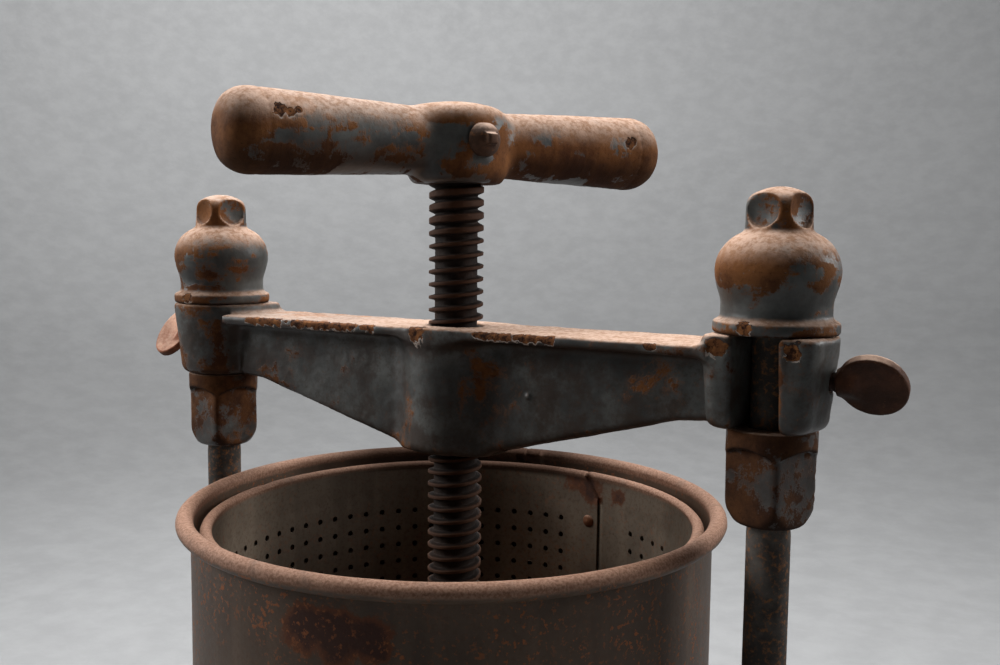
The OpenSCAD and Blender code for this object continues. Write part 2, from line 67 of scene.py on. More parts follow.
ROD_LOW, ROD_HIGH = span("right_rod")
ROD_X = (ROD_LOW[0] + ROD_HIGH[0]) / 2
ROD_R = (ROD_HIGH[0] - ROD_LOW[0]) / 2
HEAD_LOW, HEAD_HIGH = span("crosshead")
SEAT = HEAD_HIGH[2]
FORK_R = HEAD_HIGH[0] - ROD_X
SCREW_LOW, SCREW_HIGH = span("screw")
SCREW_R = (SCREW_HIGH[0] - SCREW_LOW[0]) / 2
HANDLE_LOW, HANDLE_HIGH = span("handle")
PLATE_HIGH = span("pressure_plate")[1]
DRUM_LOW, DRUM_HIGH = span("drum_shell")
BASKET_LOW, BASKET_HIGH = span("basket_shell")
BASE_HIGH = span("base_casting")[1]
COLLAR_LOW, COLLAR_HIGH = span("right_collar")
COLLAR_TOP = COLLAR_HIGH[2] + 0.2
FIT = 0.35              # gap between a bore and whatever runs in it
SIDES = {1: "right", -1: "left"}


# ---------------- camera, lights and stage

def axes_of_view(azimuth, pan, tilt, roll):
    """Right, up and forward unit vectors of a camera that stands at an azimuth and looks at Z, in degrees."""
    a, p, t, r = (radians(v) for v in (azimuth, pan, tilt, roll))
    inward = np.array([-sin(a), cos(a), 0.0])
    aside = np.array([cos(a), sin(a), 0.0])
    level = inward * cos(p) + aside * sin(p)
    right = aside * cos(p) - inward * sin(p)
    forward = level * cos(t) - np.array([0.0, 0.0, sin(t)])
    up = np.cross(right, forward)
    return (right * cos(r) + up * sin(r),
            up * cos(r) - right * sin(r),
            forward)


def new_object(name, data):
    thing = bpy.data.objects.new(name, data)
    bpy.context.scene.collection.objects.link(thing)
    return thing


def stand(thing, axes, place):
    """Puts a camera or a light at a place, in metres, with its own three axes along these vectors."""
    rows = [[*(axis[i] for axis in axes), place[i]] for i in range(3)]
    thing.matrix_world = Matrix([*rows, [0, 0, 0, 1]])


def add_camera():
    azimuth, distance, rise = 32.99, 498.9, 37.9
    right, up, forward = axes_of_view(azimuth, pan=2.43, tilt=5.27, roll=0.6)
    data = bpy.data.cameras.new("camera")
    data.lens = 37.68
    data.sensor_width = 36.0
    data.clip_start = 0.01
    camera = new_object("camera", data)
    a = radians(azimuth)
    place = np.array([distance * sin(a), -distance * cos(a), SEAT + rise]) * MM
    stand(camera, (right, up, -forward), place)
    bpy.context.scene.camera = camera


def add_area_light(name, place, target, size, watts, beam=180):
    """Square area light at a place, in metres, that faces a target. beam is its spread in degrees."""
    data = bpy.data.lights.new(name, "AREA")
    data.shape = "SQUARE"
    data.size = size
    data.energy = watts
    data.spread = radians(beam)
    back = np.array(place, float) - np.array(target, float)
    back /= np.linalg.norm(back)
    side = np.cross([0.0, 0.0, 1.0], back)
    side /= np.linalg.norm(side)
    stand(new_object(name, data), (side, np.cross(back, side), back), place)


def add_lights():
    top = (0.0, 0.0, 0.35)
    add_area_light("overhead", (-0.35, 0.42, 1.60), top, 1.2, 18, beam=110)
    add_area_light("left_window", (-1.35, -0.50, 0.90), top, 0.7, 5.5, beam=100)
    add_area_light("right_window", (1.15, 0.95, 0.95), top, 0.7, 4.5, beam=100)
    add_area_light("backdrop_wash", (-0.9, 0.9, 2.3), (-1.8, 2.6, 0.9), 0.8, 66)
    world = bpy.data.worlds.new("studio")
    world.use_nodes = True
    background = world.node_tree.nodes["Background"]
    background.inputs["Color"].default_value = (0.92, 0.95, 1.0, 1.0)
    background.inputs["Strength"].default_value = 0.015
    bpy.context.scene.world = world
    bpy.context.scene.view_settings.view_transform = "Standard"


def add_backdrop():
    """Floor that sweeps up into a round wall, far outside the object."""
    flat_r, sweep_r, wall_h, sides = 0.9, 2.2, 3.4, 96
    a = np.arange(1, 25) / 24 * pi / 2
    radii = [0.02, 0.5, flat_r, *(flat_r + sweep_r * np.sin(a)), flat_r + sweep_r]
    heights = [0.0, 0.0, 0.0, *(sweep_r * (1 - np.cos(a))), wall_h]
    points, faces = revolved(radii, heights, sides)
    floor = mesh_object("backdrop", points, [list(range(sides)), *faces[:, ::-1].tolist()], paper())


# ---------------- distance fields

def grid_over(node, cell, quick_cell):
    """Low and high corner of a CAD node, and a field over it. The second cell size, for quick trials, is
    passed on but not used.
    """
    low, high = span(node)
    return low, high, Field(low, high, fine(cell, quick_cell))


class Field:
    """Grid of points, in millimetres, on which distances are worked out."""

    def __init__(self, low, high, cell):
        self.cell = cell
        self.box = (np.array(low, float), np.array(high, float))
        self.low = np.array(low, float) - 2.5 * cell
        counts = np.ceil((np.array(high, float) + 2.5 * cell - self.low) / cell).astype(int) + 1
        lines = [(self.low[i] + cell * np.arange(counts[i])).astype(np.float32) for i in range(3)]
        self.x, self.y, self.z = np.meshgrid(*lines, indexing="ij", sparse=True)

    def skin(self, distance):
        """Points and faces of the surface where the distance is zero."""
        shape = np.broadcast(self.x, self.y, self.z).shape
        full = np.array(np.broadcast_to(distance, shape), dtype=np.float32, order="C")
        grid = openvdb.FloatGrid(background=float(3 * self.cell))
        grid.copyFromArray(full)
        points, quads = grid.convertToQuads(0.0)
        return self.low + np.asarray(points, float) * self.cell, np.asarray(quads, int)


def joined(a, b, soft=0.0):
    """Union of two solids, with a fillet about as large as soft."""
    if soft <= 0:
        return np.minimum(a, b)
    h = unit(0.5 + 0.5 * (b - a) / soft)
    return b + (a - b) * h - soft * h * (1 - h)


def shared(a, b, soft=0.0):
    """Intersection of two solids, with an edge rounded by about soft."""
    return -joined(-a, -b, soft)


def without(a, b, soft=0.0):
    """Solid a with b cut out of it, the edge of the cut rounded by about soft."""
    return shared(a, -b, soft)


def unit(v):
    return np.clip(v, 0, 1)


def between(v, low, high):
    return np.maximum(low - v, v - high)


def norm(*parts):
    return np.sqrt(sum(part * part for part in parts))


def tube_of(u, v, r):
    """Distance to a round bar that runs along the third axis."""
    return norm(u, v) - r


def ball(f, centre, r):
    return norm(f.x - centre[0], f.y - centre[1], f.z - centre[2]) - r


def outline(u, v, corners):
    """Signed distance in a plane to a closed outline, negative inside."""
    u, v = np.broadcast_arrays(u, v)
    nearest = np.full(u.shape, np.inf, np.float32)
    inside = np.ones(u.shape, np.float32)
    for (ax, ay), (bx, by) in zip(corners, corners[1:] + corners[:1]):
        ex, ey = bx - ax, by - ay
        wx, wy = u - ax, v - ay
        t = unit((wx * ex + wy * ey) / (ex * ex + ey * ey))
        nearest = np.minimum(nearest, (wx - ex * t) ** 2 + (wy - ey * t) ** 2)
        above, below = v >= ay, v < by
        left = ex * wy > ey * wx
        flip = (above & below & left) | (~above & ~below & ~left)
        inside = np.where(flip, -inside, inside)
    return inside * np.sqrt(nearest)


def turned(x, y, degrees):
    """Coordinates in a frame turned about Z by that angle."""
    a = radians(degrees)
    return x * cos(a) + y * sin(a), y * cos(a) - x * sin(a)


def four_sides(x, y):
    """Coordinates out from and along each side of a square, for its four sides."""
    return [(x * dx + y * dy, y * dx - x * dy) for dx, dy in ((1, 0), (0, 1), (-1, 0), (0, -1))]


# ---------------- noise on points

def hashed(i, j, k, seed):
    """Repeatable numbers from -1 to 1 for whole-number grid corners."""
    n = (i * 374761393 + j * 668265263 + k * 2147483647 + seed * 1274126177) & 0xFFFFFFFF
    n = ((n ^ (n >> 13)) * 1103515245) & 0xFFFFFFFF
    n = ((n ^ (n >> 16)) * 2246822519) & 0xFFFFFFFF
    return ((n >> 8) & 0xFFFF) / 32767.5 - 1.0


def lumps(points, size, seed):
    """Smooth noise from -1 to 1 at each point, with bumps about as wide as size."""
    q = np.asarray(points, float) / size
    cell = np.floor(q).astype(np.int64)
    f = q - cell
    f = f * f * (3 - 2 * f)
    total = np.zeros(len(q))
    for dx in (0, 1):
        for dy in (0, 1):
            for dz in (0, 1):
                weight = (np.where(dx, f[:, 0], 1 - f[:, 0])
                          * np.where(dy, f[:, 1], 1 - f[:, 1])
                          * np.where(dz, f[:, 2], 1 - f[:, 2]))
                total += weight * hashed(cell[:, 0] + dx, cell[:, 1] + dy, cell[:, 2] + dz, seed)
    return total


def grain(points, size, seed, layers=3):
    """Several layers of lumps, each half as wide and half as high as the last."""
    return sum(lumps(points, size / 2 ** i, seed + i) / 2 ** i for i in range(layers))


# ---------------- meshes

def normals_of(points, faces):
    """Unit normal at each point, from the four-cornered faces round it."""
    a, b, c, d = (points[faces[:, i]] for i in range(4))
    flat = np.cross(c - a, d - b)
    out = np.stack([sum(np.bincount(faces[:, i], flat[:, axis], len(points)) for i in range(4))
                    for axis in range(3)], 1)
    return out / np.maximum(np.linalg.norm(out, axis=1), 1e-9)[:, None]


def outward(points, faces):
    """The same closed skin with its faces turned outwards."""
    a, b, c = (points[faces[:, i]] for i in range(3))
    volume = np.einsum("ij,ij->i", a, np.cross(b, c)).sum()
    return points, faces if volume > 0 else faces[:, ::-1]


def ridges_and_hollows(points, faces, normals, passes=3):
    """How far each point stands out from its neighbours: above 0 on ridges, below 0 in hollows."""
    here, there = np.concatenate(faces.T), np.concatenate(np.roll(faces, -1, 1).T)
    near, far = np.concatenate([here, there]), np.concatenate([there, here])
    count = np.maximum(np.bincount(near, minlength=len(points)), 1)
    mean = np.stack([np.bincount(near, points[far, i], len(points)) / count for i in range(3)], 1)
    ridge = ((points - mean) * normals).sum(1)
    for _ in range(passes):
        ridge = 0.5 * ridge + 0.5 * np.bincount(near, ridge[far], len(points)) / count
    return ridge


def mesh_object(name, points, faces, material):
    """Smooth mesh object from points in metres and lists of corners."""
    mesh = bpy.data.meshes.new(name)
    mesh.from_pydata(points.tolist(), [], faces)
    mesh.polygons.foreach_set("use_smooth", [True] * len(mesh.polygons))
    mesh.materials.append(material)
    return new_object(name, mesh)


def make_piece(name, points, faces, material, marks=None):
    """Mesh object from points in millimetres. marks are named numbers at the points, for its material."""
    piece = mesh_object(name, points * MM, faces.tolist(), material)
    for mark, values in (marks or {}).items():
        attribute = piece.data.attributes.new(mark, "FLOAT", "POINT")
        attribute.data.foreach_set("value", np.asarray(values, np.float32))
    piece.data.validate()
    return piece


def chip_shares(points, chips, seed, lift):
    """For each point, above 0 inside a chip, with ragged edges. lift moves the chips up, as a share of their
    size."""
    raised = [((x, y, z + lift * r), r) for (x, y, z), r in chips]
    share = spots(points, raised)
    return np.where(share > -0.5, share + 0.35 * grain(points, 1.6, seed), share)


def cast_piece(name, field, distance, material, rough=0.16, seed=1, chips=(), bare=None, clean=None):
    """Casting: the field's skin, with a sand-cast unevenness, ridges and hollows marked for worn paint and
    for painted shade and highlights, and chipped spots. chips are (place, radius) pairs, in millimetres,
    where the paint has flaked off; bare(points) adds to how far its paint is worn, and clean(points) is the
    share of dust that is gone."""
    points, faces = outward(*field.skin(distance))
    normals = normals_of(points, faces)
    uneven = rough * grain(points, 14, seed) + 0.4 * rough * lumps(points, 3.1, seed + 9)
    points = points + normals * uneven[:, None]
    marks = {"chip": chip_shares(points, chips, seed + 5, 0.0),
             "chip_lip": chip_shares(points, chips, seed + 5, -0.22),
             "chip_shade": chip_shares(points, chips, seed + 5, 0.16)}
    points = points - normals * (0.3 * unit(marks["chip"] * 6))[:, None]
    points = np.clip(points, *field.box)
    # Above 0 on ridges and below 0 in hollows: this wears the paint, and gives painted shade in hollows and
    # painted highlights on ridges.
    marks["wear_and_shading"] = ridges_and_hollows(points, faces, normals) / field.cell
    if bare:
        marks["bare"] = bare(points)
    if clean:
        marks["clean"] = clean(points)
    return make_piece(name, points, faces, material, marks)


def around(sides):
    return np.arange(sides) / sides * TURN


def ring_at(theta, r, h):
    """Points at these angles about Z. The radius and the height are numbers, or hold one for each angle."""
    return np.stack(np.broadcast_arrays(r * np.cos(theta), r * np.sin(theta), h), 1)


def ring_faces(rows, sides):
    """Quads that join each ring of points to the next."""
    k = np.arange(sides)
    n = (k + 1) % sides
    return np.concatenate([np.stack([k, n, n + sides, k + sides], 1) + i * sides for i in range(rows - 1)])


def revolved(radii, heights, sides, angles=None):
    """Points and faces of a skin of rings about Z. radii and heights hold a number for each ring, or an array
    with one for each side."""
    theta = around(sides) if angles is None else angles
    rows = [ring_at(theta, r, h) for r, h in zip(radii, heights)]
    return np.concatenate(rows), ring_faces(len(rows), sides)


def capped(points, faces, sides):
    """Closes both ends of a revolved skin with a fan of quads about a middle point."""
    count = len(points)
    low, high = points[:sides].mean(0), points[-sides:].mean(0)
    points = np.concatenate([points, [low, high]])
    fans = []
    for k in range(0, sides, 2):
        fans.append((count, (k + 2) % sides, (k + 1) % sides, k))
        top = count - sides
        fans.append((count + 1, top + k, top + (k + 1) % sides, top + (k + 2) % sides))
    return points, np.concatenate([faces, np.array(fans)])


def finish_piece(piece, body, slot, *nodes):
    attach(piece, body)
    if nodes:
        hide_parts(*nodes)
    return piece


# ---------------- materials

class Shade:
    """Short-hand for one procedural material."""

    def __init__(self, name):
        self.material = bpy.data.materials.new(name)
        self.material.use_nodes = True
        self.tree = self.material.node_tree
        self.place = self.add("ShaderNodeTexCoord").outputs["Object"]

    def fill(self, node, inputs):
        """Sets or links a node's inputs, each given by its name or number."""
        for key, value in inputs.items():
            if isinstance(value, bpy.types.NodeSocket):
                self.tree.links.new(value, node.inputs[key])
            else:
                node.inputs[key].default_value = value

    def add(self, kind, inputs=None, **settings):
        node = self.tree.nodes.new(kind)
        for key, value in settings.items():
            setattr(node, key, value)
        self.fill(node, inputs or {})
        return node

    def noise(self, scale, detail=4.0, rough=0.55, stretch=None, turn=0.0, warp=0.0):
        """Fractal noise. stretch below 1 along an axis draws it out that way. turn is about Z, in degrees."""
        place = self.place
        if stretch:
            inputs = {"Vector": place, "Rotation": (0.0, 0.0, radians(turn)),
                      "Scale": tuple(1 / k for k in stretch)}
            place = self.add("ShaderNodeMapping", inputs, vector_type="TEXTURE").outputs["Vector"]
        inputs = {"Vector": place, "Scale": scale, "Detail": detail, "Roughness": rough, "Distortion": warp}
        return self.add("ShaderNodeTexNoise", inputs).outputs["Fac"]

    def mark(self, name):
        return self.add("ShaderNodeAttribute", attribute_name=name).outputs["Fac"]

    def facing_up(self):
        """The object's own upward direction at the surface, from -1 to 1."""
        normal = self.add("ShaderNodeTexCoord").outputs["Normal"]
        return self.add("ShaderNodeSeparateXYZ", {0: normal}).outputs["Z"]

    def height(self):
        return self.add("ShaderNodeSeparateXYZ", {0: self.place}).outputs["Z"]

    def math(self, operation, *values):
        return self.add("ShaderNodeMath", dict(enumerate(values)), operation=operation).outputs[0]

    def sum(self, a, b, weight=1.0):
        return self.math("MULTIPLY_ADD", b, weight, a)

    def times(self, a, b):
        return self.math("MULTIPLY", a, b)

    def most(self, a, b):
        return self.math("MAXIMUM", a, b)

    def step(self, value, low, high, top=1.0):
        """Smooth step from 0 at low to top at high. low may be above high."""
        ends = (high, low, top, 0.0) if low > high else (low, high, 0.0, top)
        inputs = {"Value": value, **dict(zip(("From Min", "From Max", "To Min", "To Max"), ends))}
        return self.add("ShaderNodeMapRange", inputs, interpolation_type="SMOOTHSTEP").outputs["Result"]

    def blend(self, share, a, b):
        """Colour a where share is 0 and b where it is 1."""
        a, b = (c if isinstance(c, bpy.types.NodeSocket) else (*c, 1.0) for c in (a, b))
        return self.add("ShaderNodeMix", {"Factor": share, 6: a, 7: b}, data_type="RGBA").outputs[2]

    def tint(self, a, b, value, low, high, top=1.0):
        """Colour a, turning into b where the value steps up from low to high."""
        return self.blend(self.step(value, low, high, top), a, b)

    def finish(self, colour, roughness, bumps, specular=0.5):
        """bumps are (height, strength, distance in metres) layers, coarse ones first."""
        normal = None
        for height, strength, distance in bumps:
            inputs = {"Height": height, "Strength": strength, "Distance": distance}
            if normal:
                inputs["Normal"] = normal
            normal = self.add("ShaderNodeBump", inputs).outputs["Normal"]
        self.fill(self.tree.nodes["Principled BSDF"], {
            "Base Color": colour, "Roughness": roughness, "Specular IOR Level": specular, "Normal": normal})
        return self.material


def paper():
    s = Shade("backdrop_paper")
    tone = s.blend(s.noise(3.0, 3), (0.245, 0.248, 0.251), (0.285, 0.288, 0.291))
    tone = s.tint(tone, (0.33, 0.333, 0.336), s.noise(22, 6, 0.62), 0.30, 0.72, 0.5)
    return s.finish(tone, 0.9, [(s.noise(60, 5, 0.6), 0.3, 0.003)], specular=0.1)


PAINT_DARK = (0.036, 0.037, 0.035)
PAINT_LIGHT = (0.125, 0.130, 0.122)
GRIME = (0.036, 0.021, 0.013)
RUST_DARK = (0.026, 0.010, 0.006)
RUST_MID = (0.105, 0.040, 0.017)
RUST_ORANGE = (0.262, 0.106, 0.036)
# Dark brown used as painted shade: undersides, the backs of the sheets and the collars are darkened towards
# it.
PAINTED_SHADE_COLOUR = (0.012, 0.006, 0.004)
HOLLOW_GRIME_AND_SHADE = (0.014, 0.008, 0.006)
CHIP_SHADE = (0.020, 0.009, 0.006)
CHIP_LIP = (0.42, 0.35, 0.30)
DUST = (0.62, 0.43, 0.33)
DUST_BROWN = (0.40, 0.235, 0.150)
TIN_STAIN = (0.075, 0.036, 0.020)
TIN_SPECK = (0.30, 0.095, 0.030)
PATCH_EDGE = (0.130, 0.042, 0.016)
PATCH_MIDDLE = (0.050, 0.018, 0.012)
RIM_PINK = (0.34, 0.195, 0.132)
RIM_BROWN = (0.20, 0.096, 0.056)
RIM_STAIN = (0.13, 0.085, 0.062)
RIM_PALE = (0.52, 0.37, 0.29)


def mixed(share, a, b):
    return tuple(p + (q - p) * share for p, q in zip(a, b))


def rust_colour(s, warmth):
    """Brown rust in soft patches, from dark at warmth 0 to orange at warmth 1, with fine specks."""
    low, high = mixed(warmth, RUST_DARK, RUST_MID), mixed(warmth, RUST_MID, RUST_ORANGE)
    colour = s.tint(low, high, s.noise(48, 7, 0.64), 0.36, 0.64)
    colour = s.tint(colour, RUST_ORANGE, s.noise(420, 5, 0.7), 0.54, 0.74, 0.5)
    return s.tint(colour, RUST_DARK, s.noise(700, 4, 0.65), 0.54, 0.72, 0.45)


def chipped(s, colour, speckle):
    """Flaked spots: bare orange iron, with a broken pale edge below and a painted shadow along the edge
    above.
    """
    ragged = s.sum(s.times(speckle, 0.5), s.noise(430, 4, 0.6), 0.4)
    inside = s.step(s.sum(s.mark("chip"), ragged), 0.50, 0.54)
    below = s.step(s.sum(s.mark("chip_lip"), ragged), 0.50, 0.53)
    above = s.step(s.sum(s.mark("chip_shade"), ragged), 0.46, 0.52)
    orange = s.tint(RUST_DARK, mixed(0.35, RUST_MID, RUST_ORANGE), speckle, 0.38, 0.58)
    orange = s.tint(orange, RUST_ORANGE, s.noise(260, 4, 0.6), 0.54, 0.62, 0.8)
    colour = s.blend(above, colour, CHIP_SHADE)
    colour = s.blend(s.times(below, s.step(s.noise(330, 3), 0.40, 0.56)), colour, CHIP_LIP)
    return s.blend(inside, colour, orange), inside


def painted_iron(name, cover, grime, dust, dust_at=0.45, warmth=0.5, brush=None, painted_shade=0.0):
    """Blue-grey paint that covers part of rusty cast iron. Ridges are worn bare, rust creeps under the film's
    edges, hollows are dark with grime and painted shade, downward faces and, by a given share, the whole
    piece are darkened as painted shade, and upward faces hold pinkish dust. brush is (stretch, turn) for fine
    streaks."""
    s = Shade(name)
    blotch = s.noise(25, 7, 0.60, warp=0.5)
    fleck = s.noise(150, 6, 0.68)
    grains = s.noise(430, 5, 0.68)
    fine = s.noise(1100, 3, 0.6)
    paint = s.tint(PAINT_DARK, PAINT_LIGHT, s.noise(33, 5, 0.6), 0.35, 0.68)
    paint = s.tint(paint, GRIME, s.noise(60, 5, 0.7), 0.66 - 0.3 * grime, 0.86 - 0.3 * grime, 0.85)
    paint = s.tint(paint, GRIME, grains, 0.46, 0.70, 0.7 * grime)
    paint = s.tint(paint, RUST_MID, s.noise(260, 6, 0.75), 0.58, 0.70, 0.9 * grime)
    rusty = rust_colour(s, warmth)
    film = s.sum(s.sum(s.sum(blotch, fleck, 0.40), fine, 0.12), s.mark("wear_and_shading"), 0.9)
    film = s.sum(film, s.mark("bare"))
    edge = 0.76 + 0.42 * (cover - 0.5)
    if brush:
        streaks = s.noise(420, 4, 0.62, *brush)
        film = s.sum(film, streaks, 0.20)
        edge += 0.10
        rusty = s.tint(rusty, RUST_ORANGE, streaks, 0.50, 0.66, 0.25)
    colour = s.tint(paint, rusty, film, edge - 0.06, edge, 0.5)
    bare = s.step(film, edge - 0.015, edge + 0.03)
    colour = s.blend(bare, colour, rusty)
    # Grime and painted shade: hollows are darkened.
    colour = s.tint(colour, HOLLOW_GRIME_AND_SHADE, s.mark("wear_and_shading"), 0.0, -0.16, 0.7)
    # Painted shade: the whole piece is darkened by the given share.
    colour = s.blend(painted_shade, colour, PAINTED_SHADE_COLOUR)
    # Painted shade: faces that turn downwards are darkened.
    colour = s.tint(colour, PAINTED_SHADE_COLOUR, s.facing_up(), 0.12, -0.65, 0.80)
    up = s.sum(s.sum(s.facing_up(), blotch, 0.5), grains, 0.5)
    powder = s.times(s.step(up, dust_at + 0.30, dust_at + 0.95, dust), s.sum(1.0, s.mark("clean"), -1.0))
    dusty = s.tint(DUST, DUST_BROWN, s.sum(grains, fleck, 0.6), 0.70, 0.95)
    colour = s.blend(powder, colour, dusty)
    colour, chip = chipped(s, colour, grains)
    matt = s.most(s.most(bare, powder), chip)
    roughness = s.sum(s.sum(0.36, matt, 0.42), grains, 0.18)
    bumps = [(s.noise(230, 5, 0.6), 0.22, 0.0006),
             (s.times(grains, s.sum(0.25, matt, 0.9)), 0.45, 0.0005),
             (chip, -0.9, 0.0006)]
    return s.finish(colour, roughness, bumps, specular=s.sum(0.42, matt, -0.30))


def rusty_steel(name, tone=RUST_DARK, edge_highlight=0.5, dust=0.4, warmth=0.3, ridge=(0.20, 0.10, 0.052)):
    """Dark rust all over: ridges are brighter, partly worn metal and partly a painted highlight, downward
    faces get painted shade, and upward faces hold some dust.
    """
    s = Shade(name)
    patch = s.noise(60, 6, 0.62)
    grains = s.noise(430, 5, 0.68)
    fine = s.noise(1100, 3, 0.6)
    colour = s.tint(tone, tuple(2.6 * c for c in tone), patch, 0.42, 0.70)
    colour = s.tint(colour, RUST_ORANGE, grains, 0.64 - 0.16 * warmth, 0.82 - 0.16 * warmth, 0.8)
    # Worn edges and painted highlight: ridges lighten towards the ridge colour.
    colour = s.tint(colour, ridge, s.sum(s.mark("wear_and_shading"), patch, 0.10), 0.12, 0.27, edge_highlight)
    # Painted shade: faces that turn downwards are darkened.
    colour = s.tint(colour, PAINTED_SHADE_COLOUR, s.facing_up(), 0.0, -0.9, 0.7)
    powder = s.step(s.sum(s.sum(s.facing_up(), patch, 0.5), grains, 0.4), 0.85, 1.35, dust)
    colour = s.blend(powder, colour, mixed(0.35, DUST, DUST_BROWN))
    roughness = s.sum(0.60, fine, 0.3)
    bumps = [(s.noise(230, 5, 0.6), 0.4, 0.0006), (grains, 0.5, 0.0004)]
    return s.finish(colour, roughness, bumps, specular=0.22)


def tinned_sheet(name, tone=(0.102, 0.066, 0.043), flecks=0.8, rim=None):
    """Brown-grey tinned sheet with faint upright streaks, orange flecks and rusted patches, darkened as
    painted shade where marked. rim is the height, in metres, above which the sheet turns to pinkish rust;
    below it the curl keeps the darker sheet colour, which is painted shade."""
    s = Shade(name)
    cloud = s.noise(14, 6, 0.6)
    streak = s.noise(110, 3, 0.5, (1.0, 1.0, 0.10))
    grains = s.noise(520, 5, 0.68)
    fine = s.noise(1100, 3, 0.6)
    colour = s.tint(mixed(0.4, tone, (0, 0, 0)), tone, cloud, 0.35, 0.65)
    colour = s.tint(colour, tuple(1.4 * c for c in tone), streak, 0.45, 0.7, 0.3)
    colour = s.tint(colour, TIN_STAIN, grains, 0.46, 0.70, 0.5)
    specks = s.times(s.step(s.noise(420, 4, 0.65), 0.56, 0.61), s.step(s.noise(30, 5, 0.65), 0.38, 0.60))
    specks = s.times(specks, flecks)
    spread = s.sum(s.mark("patch"), s.noise(75, 6, 0.7), 1.5)
    patch = s.step(spread, 0.78, 1.0)
    rusty = s.tint(PATCH_EDGE, PATCH_MIDDLE, spread, 0.96, 1.25)
    colour = s.blend(s.times(patch, 0.9), colour, rusty)
    colour = s.blend(specks, colour, TIN_SPECK)
    matt = s.most(specks, patch)
    if rim is not None:
        pink = s.tint(RIM_PINK, RIM_BROWN, s.noise(900, 4, 0.65), 0.36, 0.66)
        pink = s.tint(pink, RIM_STAIN, s.noise(60, 5, 0.65), 0.55, 0.75, 0.5)
        pink = s.tint(pink, RIM_PALE, fine, 0.62, 0.74, 0.5)
        # Pinkish rust on the top of the curl; its lower half keeps the darker sheet colour as painted shade.
        ring = s.step(s.sum(s.height(), cloud, 0.004), rim + 0.0010, rim + 0.0032)
        colour = s.blend(ring, colour, pink)
        matt = s.most(matt, ring)
    # Painted shade: the marked share darkens the sheet and dulls its shine.
    colour = s.blend(s.mark("painted_shade"), colour, PAINTED_SHADE_COLOUR)
    roughness = s.sum(s.sum(0.42, matt, 0.25), grains, 0.22)
    bumps = [(s.noise(40, 4, 0.5), 0.15, 0.0015), (s.times(grains, s.sum(0.25, matt, 0.8)), 0.45, 0.0004)]
    return s.finish(colour, roughness, bumps, specular=s.sum(0.28, s.mark("painted_shade"), -0.28))


# ---------------- crosshead

def fork_distance(f, side):
    """One forked end. side is 1 for the right end, whose slot opens to the front, and -1 for the left."""
    x, y, z = f.x * side - ROD_X, f.y * side, f.z - SEAT
    height, reach, widening = SEAT - COLLAR_TOP, 23.0, 3.1
    draft = 4.2 * -z / height
    closed = tube_of(x, y, FORK_R - draft)
    lean = atan2(widening, reach)
    outer = (x - 22.2 - (y + reach) * tan(lean)) * cos(lean) + draft
    inner = -24.5 - x + draft * 0.57
    front = -reach - y + draft * 0.24
    prongs = shared(shared(outer, inner), y - 2.0)
    prongs = shared(prongs, front, 7.0)
    solid = shared(joined(closed, prongs, 2.0), z, 2.5)
    return shared(solid, -height - z, 5.0)


def fork_cut(f, side):
    """Slot for the rod: round behind it, then an arc about the screw's axis out to the open face."""
    x, y = f.x * side, f.y * side
    r = ROD_R + FIT
    arc = abs(norm(x, y) - ROD_X) - r
    slot = np.maximum(arc, y)
    slot = np.maximum(slot, -(x - ROD_X + 2 * FORK_R))
    return joined(slot, tube_of(x - ROD_X, y, r))


def chipped_lip(start, end, y, size):
    """A run of small chips along the flange's upper edge, from x = start to end."""
    places = [(x, y, SEAT - 6.0) for x in np.arange(start, end, 2.3)]
    return [(place, size * (0.8 + 0.45 * ((7 * k) % 5) / 4)) for k, place in enumerate(places)]


def crosshead_chips():
    """Where the paint has flaked off: the forks' corners, the boss, and both edges of the flange."""
    edge, drop = 22.8, SEAT - 5
    chips = [((ROD_X - 17, -23, drop), 4.2), ((ROD_X + 13, -23, drop), 3.6), ((-6, -23, SEAT - 7), 5.0),
             ((ROD_X - 24, 8, drop), 3.0), ((-ROD_X + 15, 23, drop), 4.0)]
    front = ((-113, -91, 2.5), (-87, -86, 1.5), (-82, -45, 2.9), (-39, -33, 2.4), (25, 43, 2.3),
             (46, 64, 2.4), (107, 110, 2.0))
    back = ((-100, -84, 1.9), (-60, -30, 2.4), (32, 50, 2.0), (88, 96, 2.2))
    for y, runs in ((-edge, front), (edge, back)):
        for start, end, r in runs:
            chips += chipped_lip(start, end, y, r)
    return chips


def build_crosshead():
    f = grid_over("crosshead", 1.0, 1.6)[2]
    z = f.z - SEAT
    top, web_end, knee, foot = -4.5, ROD_X - 22, 116.0, 20.0
    depth = SEAT - HEAD_LOW[2]
    side_view = [(-web_end, top), (web_end, top), (web_end, -37.0), (knee, -38.5), (foot, -depth),
                 (-foot, -depth), (-knee, -38.5), (-web_end, -37.0)]
    web = shared(outline(f.x, z, side_view), abs(f.y) - (8.6 - z * 0.055), 4.5)
    flange = shared(between(z, top - 5.2, top), abs(f.y) - 22.8, 2.4)
    flange = shared(flange, abs(f.x) - web_end)
    boss = shared(tube_of(f.x, f.y, 23.6 + z * 0.012), between(z, -depth, top), 4.0)
    solid = joined(joined(web, flange, 5.0), boss, 9.0)
    solid = shared(solid, z - top, 1.2)
    for side in SIDES:
        solid = joined(solid, fork_distance(f, side), 4.0)
    for x, drop, r in ((46.0, 34.0, 1.3), (27.0, 25.0, 1.1)):
        solid = joined(solid, ball(f, (x, -10.2, SEAT - drop), r), 1.2)
    for side in SIDES:
        solid = without(solid, fork_cut(f, side), 2.2)
        stud = shared(tube_of(f.y, z + 18.0, 4.4), -f.x * side + ROD_X)
        solid = without(solid, stud, 1.0)
    solid = without(solid, tube_of(f.x, f.y, SCREW_R + FIT), 0.8)

    def clean(points):
        x = points[:, 0]
        return 0.40 * unit(-(x + 15) / 50) * unit((x + ROD_X) / 25)

    paint = painted_iron("crosshead_paint", cover=0.76, grime=0.75, dust=0.88, warmth=0.6)
    piece = cast_piece("crosshead_casting", f, solid, paint, 0.2, 3, crosshead_chips(), clean=clean)
    finish_piece(piece, "crosshead", "painted_iron", "crosshead")


# ---------------- dome nuts and collars

